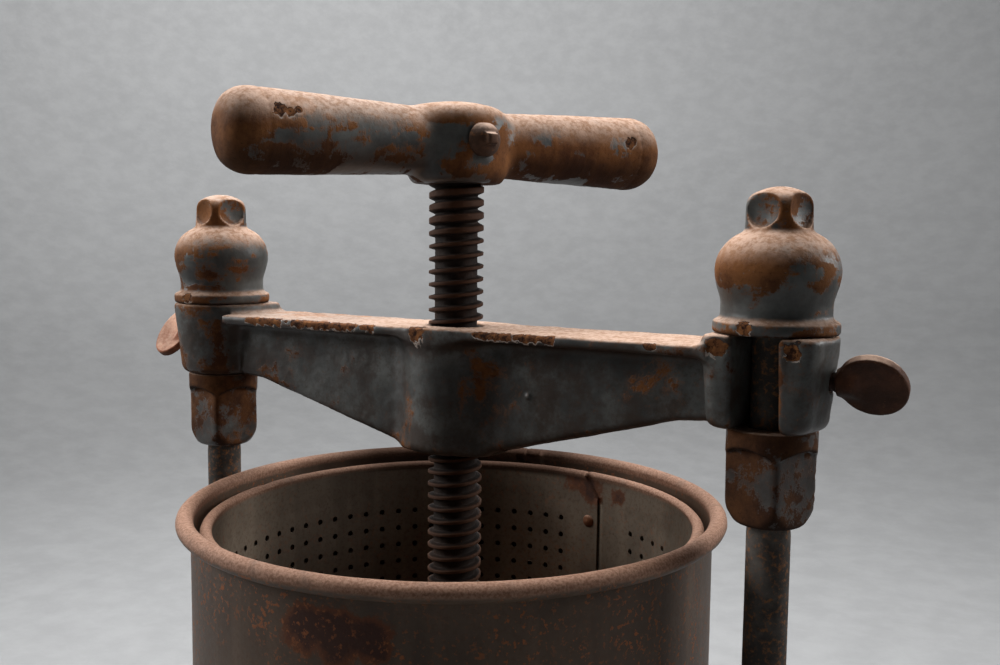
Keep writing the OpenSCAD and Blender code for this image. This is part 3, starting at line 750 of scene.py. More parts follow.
def build_dome_nut(side, degrees, seed):
    node = SIDES[side] + "_dome_nut"
    low, high, f = grid_over(node, 0.7, 1.2)
    x, y = turned(f.x - side * ROD_X, f.y, degrees)
    z = f.z - low[2]
    height = high[2] - low[2]
    flange_r, crown_r, dish_h = (high[0] - low[0]) / 2, 21.0, 49.3
    rho = norm(x, y)
    flange = shared(between(z, 0.0, 5.2), rho - flange_r, 1.6)
    neck = shared(rho - (flange_r - 3.2), between(z, 0.0, 18.0))
    belly = tube_of(rho - 8.6, z - 25.0, 16.2)
    core = shared(rho - 12.0, between(z, 5.0, 42.0))
    body = joined(joined(joined(belly, core), neck, 3.4), flange, 3.0)
    dome = tube_of(rho, z - height + crown_r, crown_r)
    head = shared(shared(rho - 13.2, dome, 3.0), 30.0 - z)
    solid = joined(body, head, 2.2)
    for u, v in four_sides(x, y):
        dish = norm(u - 31.2, v, z - dish_h) - 22.2
        rim = tube_of(v, z - dish_h, 7.4)
        solid = without(solid, shared(shared(dish, rim), 3.0 - u), 0.7)
    solid = without(solid, shared(rho - ROD_R - 0.2, between(z, -9.0, 36.0)))
    front = -32 if side > 0 else -20
    chips = [((side * ROD_X + flange_r * cos(a), flange_r * sin(a), low[2] + h), r)
             for a, h, r in ((radians(front - 70), 3, 3.2), (radians(200 + front), 4, 2.6))]

    def bare(points):
        up = points[:, 2] - low[2]
        band = unit(1.6 - abs(up - (26 if side > 0 else 34)) / 7)
        low_rust, head_rust = 0.12 * unit(1 - up / 7), 0.12 * unit((up - 36) / 4)
        return 0.12 * band + low_rust + head_rust - 0.04 + 0.07 * grain(points * (0.5, 0.5, 1.4), 5, seed)

    paint = painted_iron(node + "_paint", cover=0.66, grime=0.3, dust=0.8, dust_at=0.30, warmth=0.85,
                         brush=((0.10, 0.10, 1.0), 0.0))
    piece = cast_piece(node + "_casting", f, solid, paint, 0.14, seed, chips, bare)
    finish_piece(piece, "frame", "painted_iron", node)


def build_collar(side, degrees, seed):
    node = SIDES[side] + "_collar"
    low, high, f = grid_over(node, 0.7, 1.2)
    x, y = turned(f.x - side * ROD_X, f.y, degrees)
    z = f.z - low[2]
    height = high[2] - low[2]
    rho = norm(x, y)
    solid = shared(rho - 18.3, between(z, 0.0, height), 1.0)
    cone = (rho - 13.6 - z * 0.67) * 0.83
    solid = shared(solid, cone, 2.0)
    arch_r, arch_drop, flat = 20.0, 7.5, 13.5
    for u, v in four_sides(x, y):
        arch = tube_of(v, z - (height - arch_drop - arch_r), arch_r)
        solid = without(solid, shared(arch, flat - u), 1.4)
    if side > 0:
        # an old wrench has bitten the right-hand edge
        a, edge = radians(degrees + 45), 18.9
        for drop, r in ((19.5, 1.5), (22.0, 1.0), (27.0, 1.3), (31.5, 1.6), (34.0, 1.0)):
            centre = (ROD_X + edge * cos(a), edge * sin(a), high[2] - drop)
            solid = without(solid, ball(f, centre, r), 0.5)
    solid = without(solid, rho - ROD_R - 0.2)
    # The last share darkens each collar all over as painted shade, the right one more.
    paint = painted_iron(node + "_paint", cover=0.37 if side > 0 else 0.50, grime=0.8, dust=0.5, dust_at=0.5,
                         warmth=0.62, painted_shade=0.60 if side > 0 else 0.32)
    piece = cast_piece(node + "_casting", f, solid, paint, 0.12, seed)
    finish_piece(piece, "frame", "painted_iron", node)


# ---------------- handle, pin and thumb screws

HANDLE_DEGREES = 63.0


def build_handle():
    arm_h = (HANDLE_LOW[2] + HANDLE_HIGH[2]) / 2
    a = radians(HANDLE_DEGREES)
    f = grid_over("handle", 1.0, 1.6)[2]
    u, v = turned(f.x, f.y, HANDLE_DEGREES)
    w = f.z - arm_h
    end_r = 18.7
    half = min(max((HANDLE_HIGH[1] - end_r) / sin(a), 100.0) + 0.72 * end_r, 118.0)
    along = abs(u)
    radius = 15.3 + 3.3 * unit((along - 22) / 80) ** 0.9
    arm = shared(tube_of(v, w, radius), along - half, 15.0)
    rho = norm(f.x, f.y)
    half_hub, crown_r = 19.0, 62.0
    hub = shared(rho - 24.3, between(w, -half_hub, 60.0), 3.5)
    crown = tube_of(rho, w - half_hub + crown_r, crown_r)
    hub = shared(hub, crown, 6.5)
    bevel = (rho - 21.2 - (w + half_hub) * 0.55) * 0.876
    hub = shared(hub, bevel, 2.5)
    solid = joined(arm, hub, 4.5)
    groove = 0.35
    seam = abs(along - (half - 17.0)) - groove
    solid = without(solid, shared(seam, -(tube_of(v, w, radius) + groove)), 0.3)
    solid = without(solid, shared(rho - 10.2, between(w, -30.0, 10.5)), 0.5)
    chips, arm_r = [], 18.4
    for t, r, up in ((-93.0, 3.2, 24), (-88.5, 2.4, 22), (-85.0, 1.8, 27), (90.0, 2.8, 12), (92.5, 2.2, 17)):
        b = radians(up)
        chips.append(((t * cos(a) + arm_r * cos(b) * sin(a),
                       t * sin(a) - arm_r * cos(b) * cos(a),
                       arm_h + arm_r * sin(b)), r))

    def bare(points):
        out = abs(turned(points[:, 0], points[:, 1], HANDLE_DEGREES)[0])
        hub_share = unit(1 - (out - 20) / 15)
        end_share = unit((out - 88) / 20)
        return 0.02 * hub_share + 0.12 * end_share + 0.16 * grain(points * (0.8, 0.8, 1.6), 9, 41)

    paint = painted_iron("handle_paint", cover=0.43, grime=0.3, dust=0.85, dust_at=0.22, warmth=1.0,
                         brush=((1.0, 0.08, 0.08), HANDLE_DEGREES))
    piece = cast_piece("handle_casting", f, solid, paint, 0.16, 7, chips, bare)
    finish_piece(piece, "screw", "painted_iron", "handle")


def build_handle_pin():
    low, high, f = grid_over("handle_pin", 0.5, 0.9)
    arm_h = (low[2] + high[2]) / 2
    u, v = turned(f.x, f.y, HANDLE_DEGREES - 90)
    w = f.z - arm_h
    rho = norm(v, w)
    reach = hypot(max(abs(low[0]), abs(high[0])), max(abs(low[1]), abs(high[1])))
    hub_r = 24.2
    shank = shared(rho - 4.0, between(u, -hub_r - 1.2, hub_r), 0.6)
    collar = shared(rho - 7.3, between(u, hub_r - 1.0, hub_r + 2.0), 0.8)
    dome = tube_of(u - hub_r + 1.5, rho, 8.2)
    head = joined(collar, shared(dome, hub_r - u), 1.0)
    nub = shared(np.maximum(abs(v), abs(w)) - 2.5, between(u, hub_r, min(reach, hub_r + 9.0)), 1.6)
    solid = joined(joined(shank, head, 0.5), nub, 1.4)
    rust = rusty_steel("handle_pin_rust", (0.080, 0.042, 0.026), 0.9, 0.9, 0.7)
    piece = cast_piece("handle_pin_forging", f, solid, rust, 0.10, 11)
    finish_piece(piece, "screw", "rusty_steel", "handle_pin")


def build_thumb_head(side, degrees, half_w, tone, seed):
    """Oval disc on a neck, turned by that angle about its screw's axis."""
    node, stud = SIDES[side] + "_thumb_head", SIDES[side] + "_thumb_stud"
    low, high, f = grid_over(node, 0.5, 0.9)
    axis_h = (span(stud)[0][2] + span(stud)[1][2]) / 2
    x, y, z = f.x * side, f.y * side, f.z - axis_h
    c, s = cos(radians(degrees)), sin(radians(degrees))
    across, flat = z * c - y * s, y * c + z * s
    neck_x, tip = sorted((abs(low[0]), abs(high[0])))
    half_l = (high[2] - axis_h - 1.6 * s) / c
    centre = tip - half_w
    u, v = (x - centre) / half_w, across / half_l
    spread = np.maximum(norm(u, v), 0.01)
    oval = spread * (spread - 1) / np.maximum(norm(u / half_w, v / half_l), 1e-4)
    disc = shared(oval, abs(flat) - 2.2, 1.0)
    neck = shared(tube_of(y, z, 4.9), between(x, neck_x, centre - half_w / 2), 1.2)
    solid = joined(disc, neck, 3.5)
    solid = without(solid, shared(tube_of(y, z, 4.1), x - neck_x - 4.0))
    # The pale ridge colour lightens the disc's rim: dust and a painted highlight.
    rust = rusty_steel(node + "_rust", tone, 1.0, 1.0, 0.3, (0.62, 0.42, 0.32))
    piece = cast_piece(node + "_forging", f, solid, rust, 0.12, seed)
    finish_piece(piece, SIDES[side] + "_head", "rusty_steel", node)


def build_thumb_stud(side):
    node = SIDES[side] + "_thumb_stud"
    low, high = span(node)
    length, r, axis_h = high[0] - low[0], (high[2] - low[2]) / 2, (low[2] + high[2]) / 2
    sides, pitch, depth = 32, 1.5, 0.5
    steps = int(length / 0.3)
    theta = around(sides)
    radii, heights = [], []
    for i in range(steps + 1):
        h = length * i / steps
        wave = 0.5 + 0.5 * np.cos(TURN * (h / pitch - theta / TURN))
        taper = min(1.0, h / 0.8 + 0.4, (length - h) / 0.8 + 0.4)
        radii.append((r - depth * wave) * (0.8 + 0.2 * taper))
        heights.append(h)
    points, faces = capped(*revolved(radii, heights, sides), sides)
    points = np.stack([low[0] + points[:, 2], points[:, 0], axis_h + points[:, 1]], 1)
    piece = make_piece(node + "_thread", points, faces, rusty_steel(node + "_rust"))
    finish_piece(piece, SIDES[side] + "_stud", "rusty_steel", node)


# ---------------- screw and rods

def groove_depth(phase, crest, soft):
    """Share of the full groove depth at a phase from 0 to 1 of the pitch; the crest is in the middle."""
    gap = abs(phase - 0.5)
    t = unit((gap - crest / 2) / soft)
    return t * t * (3 - 2 * t)


def build_screw():
    low, high = SCREW_LOW, SCREW_HIGH
    pitch, depth = 6.0, 2.9
    sides = fine(96, 48)
    rise = fine(0.3, 0.6)
    hub_base = HANDLE_LOW[2]
    shoulder = PLATE_HIGH[2] + 0.2
    theta = around(sides)
    radii, heights = [], []
    for h in (low[2], low[2] + 1.0, shoulder - 1.0, shoulder):
        radii.append(7.0 if h == low[2] else 8.0)
        heights.append(h)
    steps = int((hub_base - shoulder) / rise)
    for i in range(steps + 1):
        h = shoulder + (hub_base - shoulder) * i / steps
        phase = ((h - hub_base) / pitch - theta / TURN) % 1.0
        below_hub = (hub_base - h) / pitch
        old = unit((below_hub - 3.0) / 1.5)
        share = groove_depth(phase, 0.20 + 0.16 * (1 - old), 0.16 + 0.14 * (1 - old))
        run_out = unit((h - shoulder - 1.5) / 5.0)
        worn = 0.10 * lumps(ring_at(theta, SCREW_R, h), 5, 4)
        crest_r = SCREW_R - depth * (1 - run_out)
        radii.append(np.minimum(crest_r - (crest_r - (SCREW_R - depth)) * share + worn, SCREW_R))
        heights.append(h)
    for h in (hub_base + 0.3, high[2] - 1.0, high[2]):
        radii.append(9.2 if h == high[2] else 10.0)
        heights.append(h)
    points, faces = capped(*revolved(radii, heights, sides), sides)
    rho = np.hypot(points[:, 0], points[:, 1])
    wear_and_shading = np.clip((rho - (SCREW_R - 1.4)) / 1.4, -1, 1) * 0.3
    # Crests lighten towards the ridge colour: worn metal and a painted highlight.
    rust = rusty_steel("screw_rust", (0.009, 0.004, 0.002), 0.5, 0.0, 0.0, (0.10, 0.038, 0.015))
    piece = make_piece("screw_thread", points, faces, rust, {"wear_and_shading": wear_and_shading})
    finish_piece(piece, "screw", "rusty_steel", "screw")


def build_rod(side):
    node = SIDES[side] + "_rod"
    low, high = span(node)
    sides, pitch, depth = 48, 2.5, 0.5
    theta = around(sides)
    nut_top = span("rod_upper_nuts")[1][2]
    radii, heights = [ROD_R - 1.5], [low[2]]
    h = low[2] + 0.5
    while h < high[2] - 0.5:
        hidden = h < COLLAR_TOP or h > SEAT
        cut = max(unit((h - COLLAR_LOW[2] + 4) / 3) * hidden, unit((nut_top + 8 - h) / 3))
        wave = 0.5 - 0.5 * np.cos(TURN * (h / pitch - theta / TURN))
        ring = ring_at(theta, ROD_R, h) + (side * ROD_X, 0, 0)
        radii.append(ROD_R - 0.06 - depth * cut * wave + 0.05 * lumps(ring, 9, 21) * (1 - cut))
        heights.append(h)
        h += 0.45 if cut > 0 else 4.0
    radii.append(ROD_R - 1.5)
    heights.append(high[2])
    points, faces = capped(*revolved(radii, heights, sides), sides)
    points = points + (side * ROD_X, 0, 0)
    rho = np.hypot(points[:, 0] - side * ROD_X, points[:, 1])
    rust = rusty_steel(node + "_rust", (0.042, 0.036, 0.031), 0.3, 0.3, 0.9)
    piece = make_piece(node + "_bar", points, faces, rust, {"wear_and_shading": (rho - ROD_R + 0.4) * 0.1})
    finish_piece(piece, "frame", "rusty_steel", node)


# ---------------- sheet metal

DRUM_SEAM, BASKET_SEAM, LAP = 98.5, 77.4, 6.0


def past_seam(step):
    """Degrees past a seam for the points of a revolved sheet, close together near the lap. The last point
    lies on the first."""
    return np.concatenate([np.arange(0, 8, 0.25), np.linspace(8, 360, round(352 / step) + 1)])


def cut_corner(heights, rim_h, drop, degrees):
    """How far the lap's edge is cut back, in degrees, at heights within drop of the rim."""
    return unit((heights - rim_h + drop) / drop) * degrees


def eased(gap, flat=0.0, fade=20.0):
    """1 up to flat degrees from a lap's edge, then down to 0 over fade degrees."""
    return (1 - unit((gap - flat) / fade)) ** 2


def sheet_wobble(theta, heights, seed):
    """How far a hand-rolled sheet lies inside its true round, in millimetres, as a negative number."""
    ring = ring_at(theta, 100, heights)
    return 0.22 * (lumps(ring, 70, seed) - 1) + 0.06 * (lumps(ring, 16, seed + 1) - 1)


def sheet_outline(inner_r, t, base_h, rim_h, bead_r, rows):
    """Outline of a sheet with its rim curled outwards, as (radius, height, part): up the outside, over the
    curl, and down the inside."""
    bead_x = inner_r + bead_r
    end = 0.12 - acos((t - bead_r) / bead_r)
    drops = np.linspace(1, 0, rows) ** 2
    outer_h = rim_h + bead_r * sin(end) - 0.8
    outside = [(inner_r + t, outer_h - (outer_h - base_h) * k, "outside") for k in drops]
    curl = [(bead_x + bead_r * cos(a), rim_h + bead_r * sin(a), "curl")
            for a in np.linspace(end, pi - 0.25, 24)]
    inside = [(inner_r, rim_h - (rim_h - base_h) * k, "inside") for k in drops[::-1]]
    return outside + curl + inside


def bead_shape(theta, r, h, past, seed):
    """Unevenness of a curled rim, with a slit where its two ends meet. It only goes inwards."""
    ring = ring_at(theta, r, h)
    return 0.14 * (grain(ring, 9, seed) - 1.6) - 1.5 * unit(1 - abs(past - 4) / 0.7)


def spots(points, places):
    """For each point, 1 at the middle of the nearest place and 0 at its edge. places are (centre, radius)
    pairs."""
    share = np.full(len(points), -1.0)
    for centre, r in places:
        share = np.maximum(share, 1 - np.linalg.norm(points - np.array(centre), axis=1) / r)
    return share


def on_drum(degrees, height, inner_r):
    a = radians(degrees)
    return (inner_r * cos(a), inner_r * sin(a), height)


def build_drum():
    wall_t, bead_r = 1.2, 4.0
    inner_r = DRUM_HIGH[0] - 2 * bead_r
    rim_h = DRUM_HIGH[2] - bead_r
    past = past_seam(1.5)
    theta = np.radians(DRUM_SEAM + past)
    radii, heights = [], []
    for r, h, part in sheet_outline(inner_r, wall_t, DRUM_LOW[2], rim_h, bead_r, 44):
        shift = sheet_wobble(theta, h, 71)
        if part == "inside":
            cut = cut_corner(h, rim_h, 20.0, 7.0)
            behind = np.where(past < cut, cut - past, 360 + cut - past)
            shift = shift + wall_t * eased(behind)
        if part == "outside":
            shift = shift + wall_t * np.where(past <= LAP, 1.0, eased(360 - past))
        if part == "curl":
            shift = shift + bead_shape(theta, r, h, past, 75)
        radii.append(r + shift)
        heights.append(h)
    points, faces = revolved(radii + radii[:1], heights + heights[:1], len(past), theta)
    rust = spots(points, [(on_drum(-84, 265, inner_r), 13), (on_drum(-78, 264, inner_r), 15),
                          (on_drum(-72, 265, inner_r), 12), (on_drum(20, 180, inner_r), 38),
                          (on_drum(160, 120, inner_r), 44), (on_drum(-60, 90, inner_r), 30)])
    # Painted shade on the back of the sheet, strongest on the left.
    painted_shade = 0.88 * unit((points[:, 1] - 10) / 60) * np.clip(0.9 - points[:, 0] / 60, 0.15, 1)
    drum = make_piece("drum_sheet", points, faces, tinned_sheet("drum_tin", rim=(rim_h - 1.0) * MM),
                      {"patch": rust, "painted_shade": painted_shade})
    finish_piece(drum, "frame", "tinned_sheet", "drum_shell")


def welded(points, faces):
    """The same skin with the points that lie on each other made one."""
    keys = np.round(points * 500).astype(np.int64)
    _, first, same = np.unique(keys, axis=0, return_index=True, return_inverse=True)
    return points[first], same.reshape(-1)[faces]


def cell_pattern(hole):
    """Twelve points round a unit cell's edge, then twelve round its hole, then its middle."""
    third = 1 / 6
    edge = [(0.5, third), (0.5, 0.5), (third, 0.5), (-third, 0.5), (-0.5, 0.5), (-0.5, third),
            (-0.5, -third), (-0.5, -0.5), (-third, -0.5), (third, -0.5), (0.5, -0.5), (0.5, -third)]
    ring = [(hole * cos(radians(15 + 30 * k)), hole * sin(radians(15 + 30 * k)))
            for k in range(12)]
    return np.array(edge + ring + [(0.0, 0.0)])


def cell_faces(inner, outer, open_hole):
    """Faces of one cell's two skins, with the wall of its hole, or with the hole's place closed."""
    faces = []
    for k in range(12):
        n = (k + 1) % 12
        faces.append((inner + k, inner + 12 + k, inner + 12 + n, inner + n))
        faces.append((outer + k, outer + n, outer + 12 + n, outer + 12 + k))
        if open_hole:
            faces.append((inner + 12 + k, outer + 12 + k, outer + 12 + n, inner + 12 + n))
    for k in range(0, 0 if open_hole else 12, 2):
        m, n = k + 1, (k + 2) % 12
        faces.append((inner + 24, inner + 12 + n, inner + 12 + m, inner + 12 + k))
        faces.append((outer + 24, outer + 12 + k, outer + 12 + m, outer + 12 + n))
    return faces


def perforated_wall(inner_r, t, low, high, columns, rows, hole_r, dent_at, shift_at):
    """Both skins of a wall of square cells, each with a round hole. dent_at(column, row) is 0 for a hole, or
    how deep the punch dented a place that stayed closed. shift_at(past, height) moves the wall in or out."""
    local = cell_pattern(hole_r * rows / (high - low))
    points, faces = [], []
    for row in range(rows):
        height = low + (row + 0.5 + local[:, 1]) / rows * (high - low)
        for column in range(columns):
            past = (column + 0.5 + local[:, 0]) / columns * 360
            theta = np.radians(BASKET_SEAM + past)
            dent = dent_at(column, row)
            radius = inner_r + shift_at(past, height) + dent * np.repeat([0.0, 0.4, 1.0], [12, 12, 1])
            start = 50 * (row * columns + column)
            faces += cell_faces(start, start + 25, dent == 0)
            for r in (radius, radius + t):
                points.append(ring_at(theta, r, height))
    return np.concatenate(points), np.array(faces)


def build_basket():
    wall_t, bead_r, pitch = 1.0, 2.8, 10.0
    inner_r = BASKET_HIGH[0] - 2 * bead_r
    rim_h = BASKET_HIGH[2] - bead_r
    columns = round(TURN * inner_r / pitch)
    band_top = rim_h - 11.0
    rows = int((band_top - BASKET_LOW[2] - 8) / pitch)
    band_low = band_top - rows * pitch

    def shift_at(past, height):
        theta = np.radians(BASKET_SEAM + past)
        lap = np.where(past >= cut_corner(height, rim_h, 11.0, 4.0), eased(past, LAP), 0.0)
        return sheet_wobble(theta, height, 83) - wall_t * lap

    def dent_at(column, row):
        by_seam = column < 2 or column >= columns - 2
        return 0.02 if by_seam else 0.30 if row == rows - 1 else 0

    def ring_of(profile, past):
        theta = np.radians(BASKET_SEAM + past)
        pinch = unit(1 - abs(past - 106) / 2.5)
        radii = [r + shift_at(past, h) + (bead_shape(theta, r, h, past, 91) - pinch if part == "curl" else 0)
                 for r, h, part in profile]
        return revolved(radii, [h for _, h, _ in profile], len(past), theta)

    band = perforated_wall(inner_r, wall_t, band_low, band_top, columns, rows, 1.6, dent_at, shift_at)
    rim = ring_of(sheet_outline(inner_r, wall_t, band_top, rim_h, bead_r, 22), past_seam(120 / columns))
    skirt = [(inner_r, h, "inside") for h in np.linspace(band_low, BASKET_LOW[2], 4)]
    skirt += [(inner_r + wall_t, h, "outside") for h in np.linspace(BASKET_LOW[2], band_low, 4)]
    skirt = ring_of(skirt, np.linspace(0, 360, 3 * columns + 1))
    points, faces = welded(*joined_skins([band, rim, skirt]))
    points, faces = loose_hole_walls(points, faces, band_low, band_top)
    rust = spots(points, [(on_drum(BASKET_SEAM + 3, rim_h - 6, inner_r), 13),
                          (on_drum(BASKET_SEAM + 8, rim_h - 2, inner_r), 11),
                          (on_drum(BASKET_SEAM - 7, rim_h - 7, inner_r), 10)])
    x, y, z = points.T
    # Painted shade near the back of the rim and on the left side of the sheet.
    by_rim = unit((z - rim_h + 4) / 3)
    painted_shade = 0.85 * unit((y - 10) / 60) * by_rim * np.clip(0.9 - x / 60, 0.1, 1)
    painted_shade = np.maximum(painted_shade, 0.60 * unit(-x / 50) * unit(y / 30 + 1))
    basket = make_piece("basket_sheet", points, faces,
                        tinned_sheet("basket_tin", (0.185, 0.148, 0.110), 0.3, rim=(rim_h - 0.5) * MM),
                        {"patch": 0.5 * rust - 0.1, "painted_shade": painted_shade})
    finish_piece(basket, "frame", "tinned_sheet", "basket_shell")


def loose_hole_walls(points, faces, low, high):
    """The same skin, with the holes' walls on points of their own, so that the holes' edges shade crisply."""
    corners = points[faces]
    middle = corners.mean(1)
    normal = np.cross(corners[:, 2] - corners[:, 0], corners[:, 3] - corners[:, 1])
    facing = abs((normal[:, :2] * middle[:, :2]).sum(1))
    facing /= np.linalg.norm(normal, axis=1) * np.hypot(middle[:, 0], middle[:, 1]) + 1e-9
    loose = (middle[:, 2] > low) & (middle[:, 2] < high) & (facing < 0.5)
    faces = faces.copy()
    faces[loose] = len(points) + np.arange(4 * loose.sum()).reshape(-1, 4)
    return np.concatenate([points, corners[loose].reshape(-1, 3)]), faces


def joined_skins(skins):
    points, faces, count = [], [], 0
    for part_points, part_faces in skins:
        points.append(part_points)
        faces.append(part_faces + count)
        count += len(part_points)
    return np.concatenate(points), np.concatenate(faces)


def build_rivets(node, count, material):
    """Round-headed rivets through a seam, all at one angle."""
    low, high = span(node)
    middle = (low + high) / 2
    a = atan2(middle[1], middle[0])
    head_r, head_h = 3.8, 2.0
    reach = high[1] / sin(a) - head_h
    grip = (high[1] - low[1]) / sin(a) - 2 * head_h
    profile = [(0.02, -head_h), (1.6, -0.86 * head_h), (2.9, -0.5 * head_h), (3.7, -0.06), (3.5, 0),
               (1.6, 0.02)]
    profile += [(r, grip - z) for r, z in profile[::-1]]
    skins = []
    for h in np.linspace(low[2] + head_r, high[2] - head_r, count):
        points, faces = revolved(*zip(*profile), 20)
        out = reach - grip + points[:, 2]
        skins.append((np.stack([out * cos(a) - points[:, 0] * sin(a),
                                out * sin(a) + points[:, 0] * cos(a),
                                h + points[:, 1]], 1), faces))
    piece = make_piece(node + "_heads", *joined_skins(skins), material)
    finish_piece(piece, "frame", "rusty_steel", node)


def build_drum_bottom():
    low, high = span("drum_bottom")
    wall_t, reach = 1.2, high[0] - 0.05
    foot, top = low[2], low[2] + wall_t
    profile = [(0.05, top), (40, top + 0.3), (80, top + 0.25), (reach - 5, top), (reach - 2.2, top + 0.5),
               (reach - wall_t, top + 2), (reach - wall_t, high[2] - 0.2), (reach - 0.1, high[2] - 0.1),
               (reach, foot + 2), (reach - 1.2, foot + 0.3), (reach - 4, foot), (80, foot + 0.2),
               (40, foot + 0.2), (0.05, foot)]
    points, faces = revolved(*zip(*profile), 144)
    points[:, 2] += 0.12 * lumps(points, 30, 5) * (np.hypot(points[:, 0], points[:, 1]) < reach - 10)
    piece = make_piece("drum_floor", points, faces, tinned_sheet("drum_floor_tin"))
    finish_piece(piece, "frame", "tinned_sheet", "drum_bottom")


def build_spout():
    """Tube that starts on the drum's round wall and slopes down and away from it."""
    inner_r, outer_r, sides = 10.0, 11.4, 48
    tilt = radians(6.0)
    wall_r = DRUM_HIGH[0] - 8.0
    root = np.array([0.0, 6.0 - wall_r, DRUM_LOW[2] + 15.0])
    aside = np.array([1.0, 0.0, 0.0])
    along = np.array([0.0, -cos(tilt), -sin(tilt)])
    up = np.array([0.0, -sin(tilt), cos(tilt)])
    theta = around(sides)
    rings = [(outer_r, 5.0), (outer_r, 8.0), (outer_r, 20.0), (outer_r, 46.0), (outer_r, 48.9),
             (outer_r - 0.3, 49.9), (inner_r + 0.3, 49.9), (inner_r, 49.3), (inner_r, 20.0), (inner_r, 5.0)]
    points = []
    for r, reach in rings:
        side = r * np.cos(theta)
        ring = root + side[:, None] * aside + (r * np.sin(theta))[:, None] * up + reach * along
        if reach <= 5.0:
            start = (-np.sqrt(wall_r ** 2 - side ** 2) - ring[:, 1]) / along[1]
            ring = ring + start[:, None] * along
        points.append(ring)
    piece = make_piece("spout_tube", np.concatenate(points), ring_faces(len(rings), sides),
                       tinned_sheet("spout_tin"))
    finish_piece(piece, "frame", "tinned_sheet", "drum_spout")


def build_basket_bottom():
    """Perforated floor with a turned-down edge."""
    low, high, f = grid_over("basket_bottom", 1.05, 1.7)
    rho = norm(f.x, f.y)
    reach, sheet = high[0] - 0.1, 1.5
    solid = shared(rho - reach, between(f.z, high[2] - sheet, high[2] - 0.05), 0.4)
    edge = shared(between(rho, reach - sheet, reach), between(f.z, low[2], high[2] - 0.4), 0.4)
    solid = joined(solid, edge, 0.8)
    hole = tube_of((f.x + 5) % 10 - 5, (f.y + 5) % 10 - 5, 1.6)
    solid = without(solid, shared(hole, rho - reach + 7))
    points, faces = outward(*f.skin(solid))
    tin = tinned_sheet("basket_floor_tin", (0.130, 0.100, 0.076), 0.5)
    piece = make_piece("basket_floor", points, faces, tin)
    finish_piece(piece, "frame", "tinned_sheet", "basket_bottom")


# ---------------- pressure plate, base and nuts

def build_pressure_plate():
    low, high, f = grid_over("pressure_plate", 1.2, 2.0)
    z = f.z - low[2]
    rho = norm(f.x, f.y)
    reach, thick, hub_r = high[0], 8.0, 26.0
    solid = shared(rho - reach, between(z, 0, thick), 2.0)
    for k in range(3):
        u, v = turned(f.x, f.y, 60 * k)
        along = abs(u)
        top = z - (thick + 20 - (along - hub_r) * 17 / (reach - 4 - hub_r))
        rib = shared(shared(abs(v) - 3.4, top, 2.5), shared(along - reach + 4, -z))
        solid = joined(solid, rib, 4.0)
    hub = shared(rho - hub_r + 0.02 * z, between(z, 0, high[2] - low[2]), 3.0)
    solid = joined(solid, hub, 5.0)
    solid = shared(solid, -z)
    solid = without(solid, rho - 8.2, 0.8)
    solid = without(solid, shared(rho - 17.0, z - 18.0), 1.0)
    paint = painted_iron("plate_paint", cover=0.2, grime=0.6, dust=0.35)
    piece = cast_piece("plate_casting", f, solid, paint, 0.18, 41)
    finish_piece(piece, "plate", "painted_iron", "pressure_plate")


def base_disc(f, top, thick, reach, ear_r):
    """Round platform with a lip, broken at the spout and the ears, and a flat ear for each rod."""
    x, y, z = abs(f.x), f.y, f.z
    rho = norm(x, y)
    solid = shared(rho - reach, between(z, top - thick, top), 2.0)
    lip = shared(between(rho, reach - 5, reach), between(z, top - 3, BASE_HIGH[2]), 1.6)
    lip = without(lip, shared(x - 22, y), 2.0)
    lip = without(lip, ROD_X - ear_r - 1 - x, 2.0)
    solid = joined(solid, lip, 1.5)
    ear_low, ear_high = span("rod_washers")[1][2], span("rod_upper_nuts")[0][2]
    tangent = acos((reach - ear_r) / ROD_X)
    edge = abs(y) * sin(tangent) + x * cos(tangent) - reach + 1
    web = shared(edge, between(x, reach * cos(tangent), ROD_X + 8))
    web = shared(web, between(z, top - thick, top), 2.0)
    solid = joined(solid, web, 2.0)
    ear = shared(tube_of(x - ROD_X, y, ear_r - 0.1), between(z, ear_low, ear_high), 1.2)
    solid = joined(solid, ear, 3.0)
    return shared(solid, np.where(norm(x - ROD_X, y) < ear_r, z - ear_high, -9.0))


def build_base():
    f = grid_over("base_casting", 1.7, 2.6)[2]
    x, y, z = f.x, f.y, f.z
    top = span("drum_bottom")[0][2]
    reach, thick, foot_span = BASE_HIGH[1], 9.0, 215.0 / sqrt(2)
    solid = base_disc(f, top, thick, reach, BASE_HIGH[0] - ROD_X)
    u, v = (abs(x) + abs(y)) / sqrt(2), (abs(x) - abs(y)) / sqrt(2)
    leg = outline(u, z, [(148, 0), (160, 0), (160, 9), (144.8, 11.7), (134.5, 18.6), (128, 28.4), (126, 39.5),
                         (126, top - 4.5), (82, top - 4.5), (82, top - 18), (95.2, 34.5), (105, 30),
                         (113, 22.5), (119.3, 11.2)])
    solid = joined(solid, shared(leg, abs(v) - 7.8, 3.0), 6.0)
    foot = shared(tube_of(u - foot_span, v, 17.9), between(z, 0, 9.0), 2.0)
    solid = joined(solid, foot, 5.0)
    for a, b in ((x, y), (y, x)):
        rib = shared(abs(a) - 4.8, abs(b) - reach + 7, 1.0)
        rib = shared(rib, between(z, top - thick - 8, top - 3), 2.0)
        solid = joined(solid, rib, 4.0)
    solid = shared(solid, -z)
    solid = without(solid, tube_of(u - foot_span, v, 4.6), 0.8)
    solid = without(solid, tube_of(abs(x) - ROD_X, y, ROD_R + 0.2), 0.8)
    paint = painted_iron("base_paint", cover=0.6, grime=0.6, dust=0.6)
    piece = cast_piece("base_casting_skin", f, solid, paint, 0.2, 61)
    finish_piece(piece, "frame", "painted_iron", "base_casting")


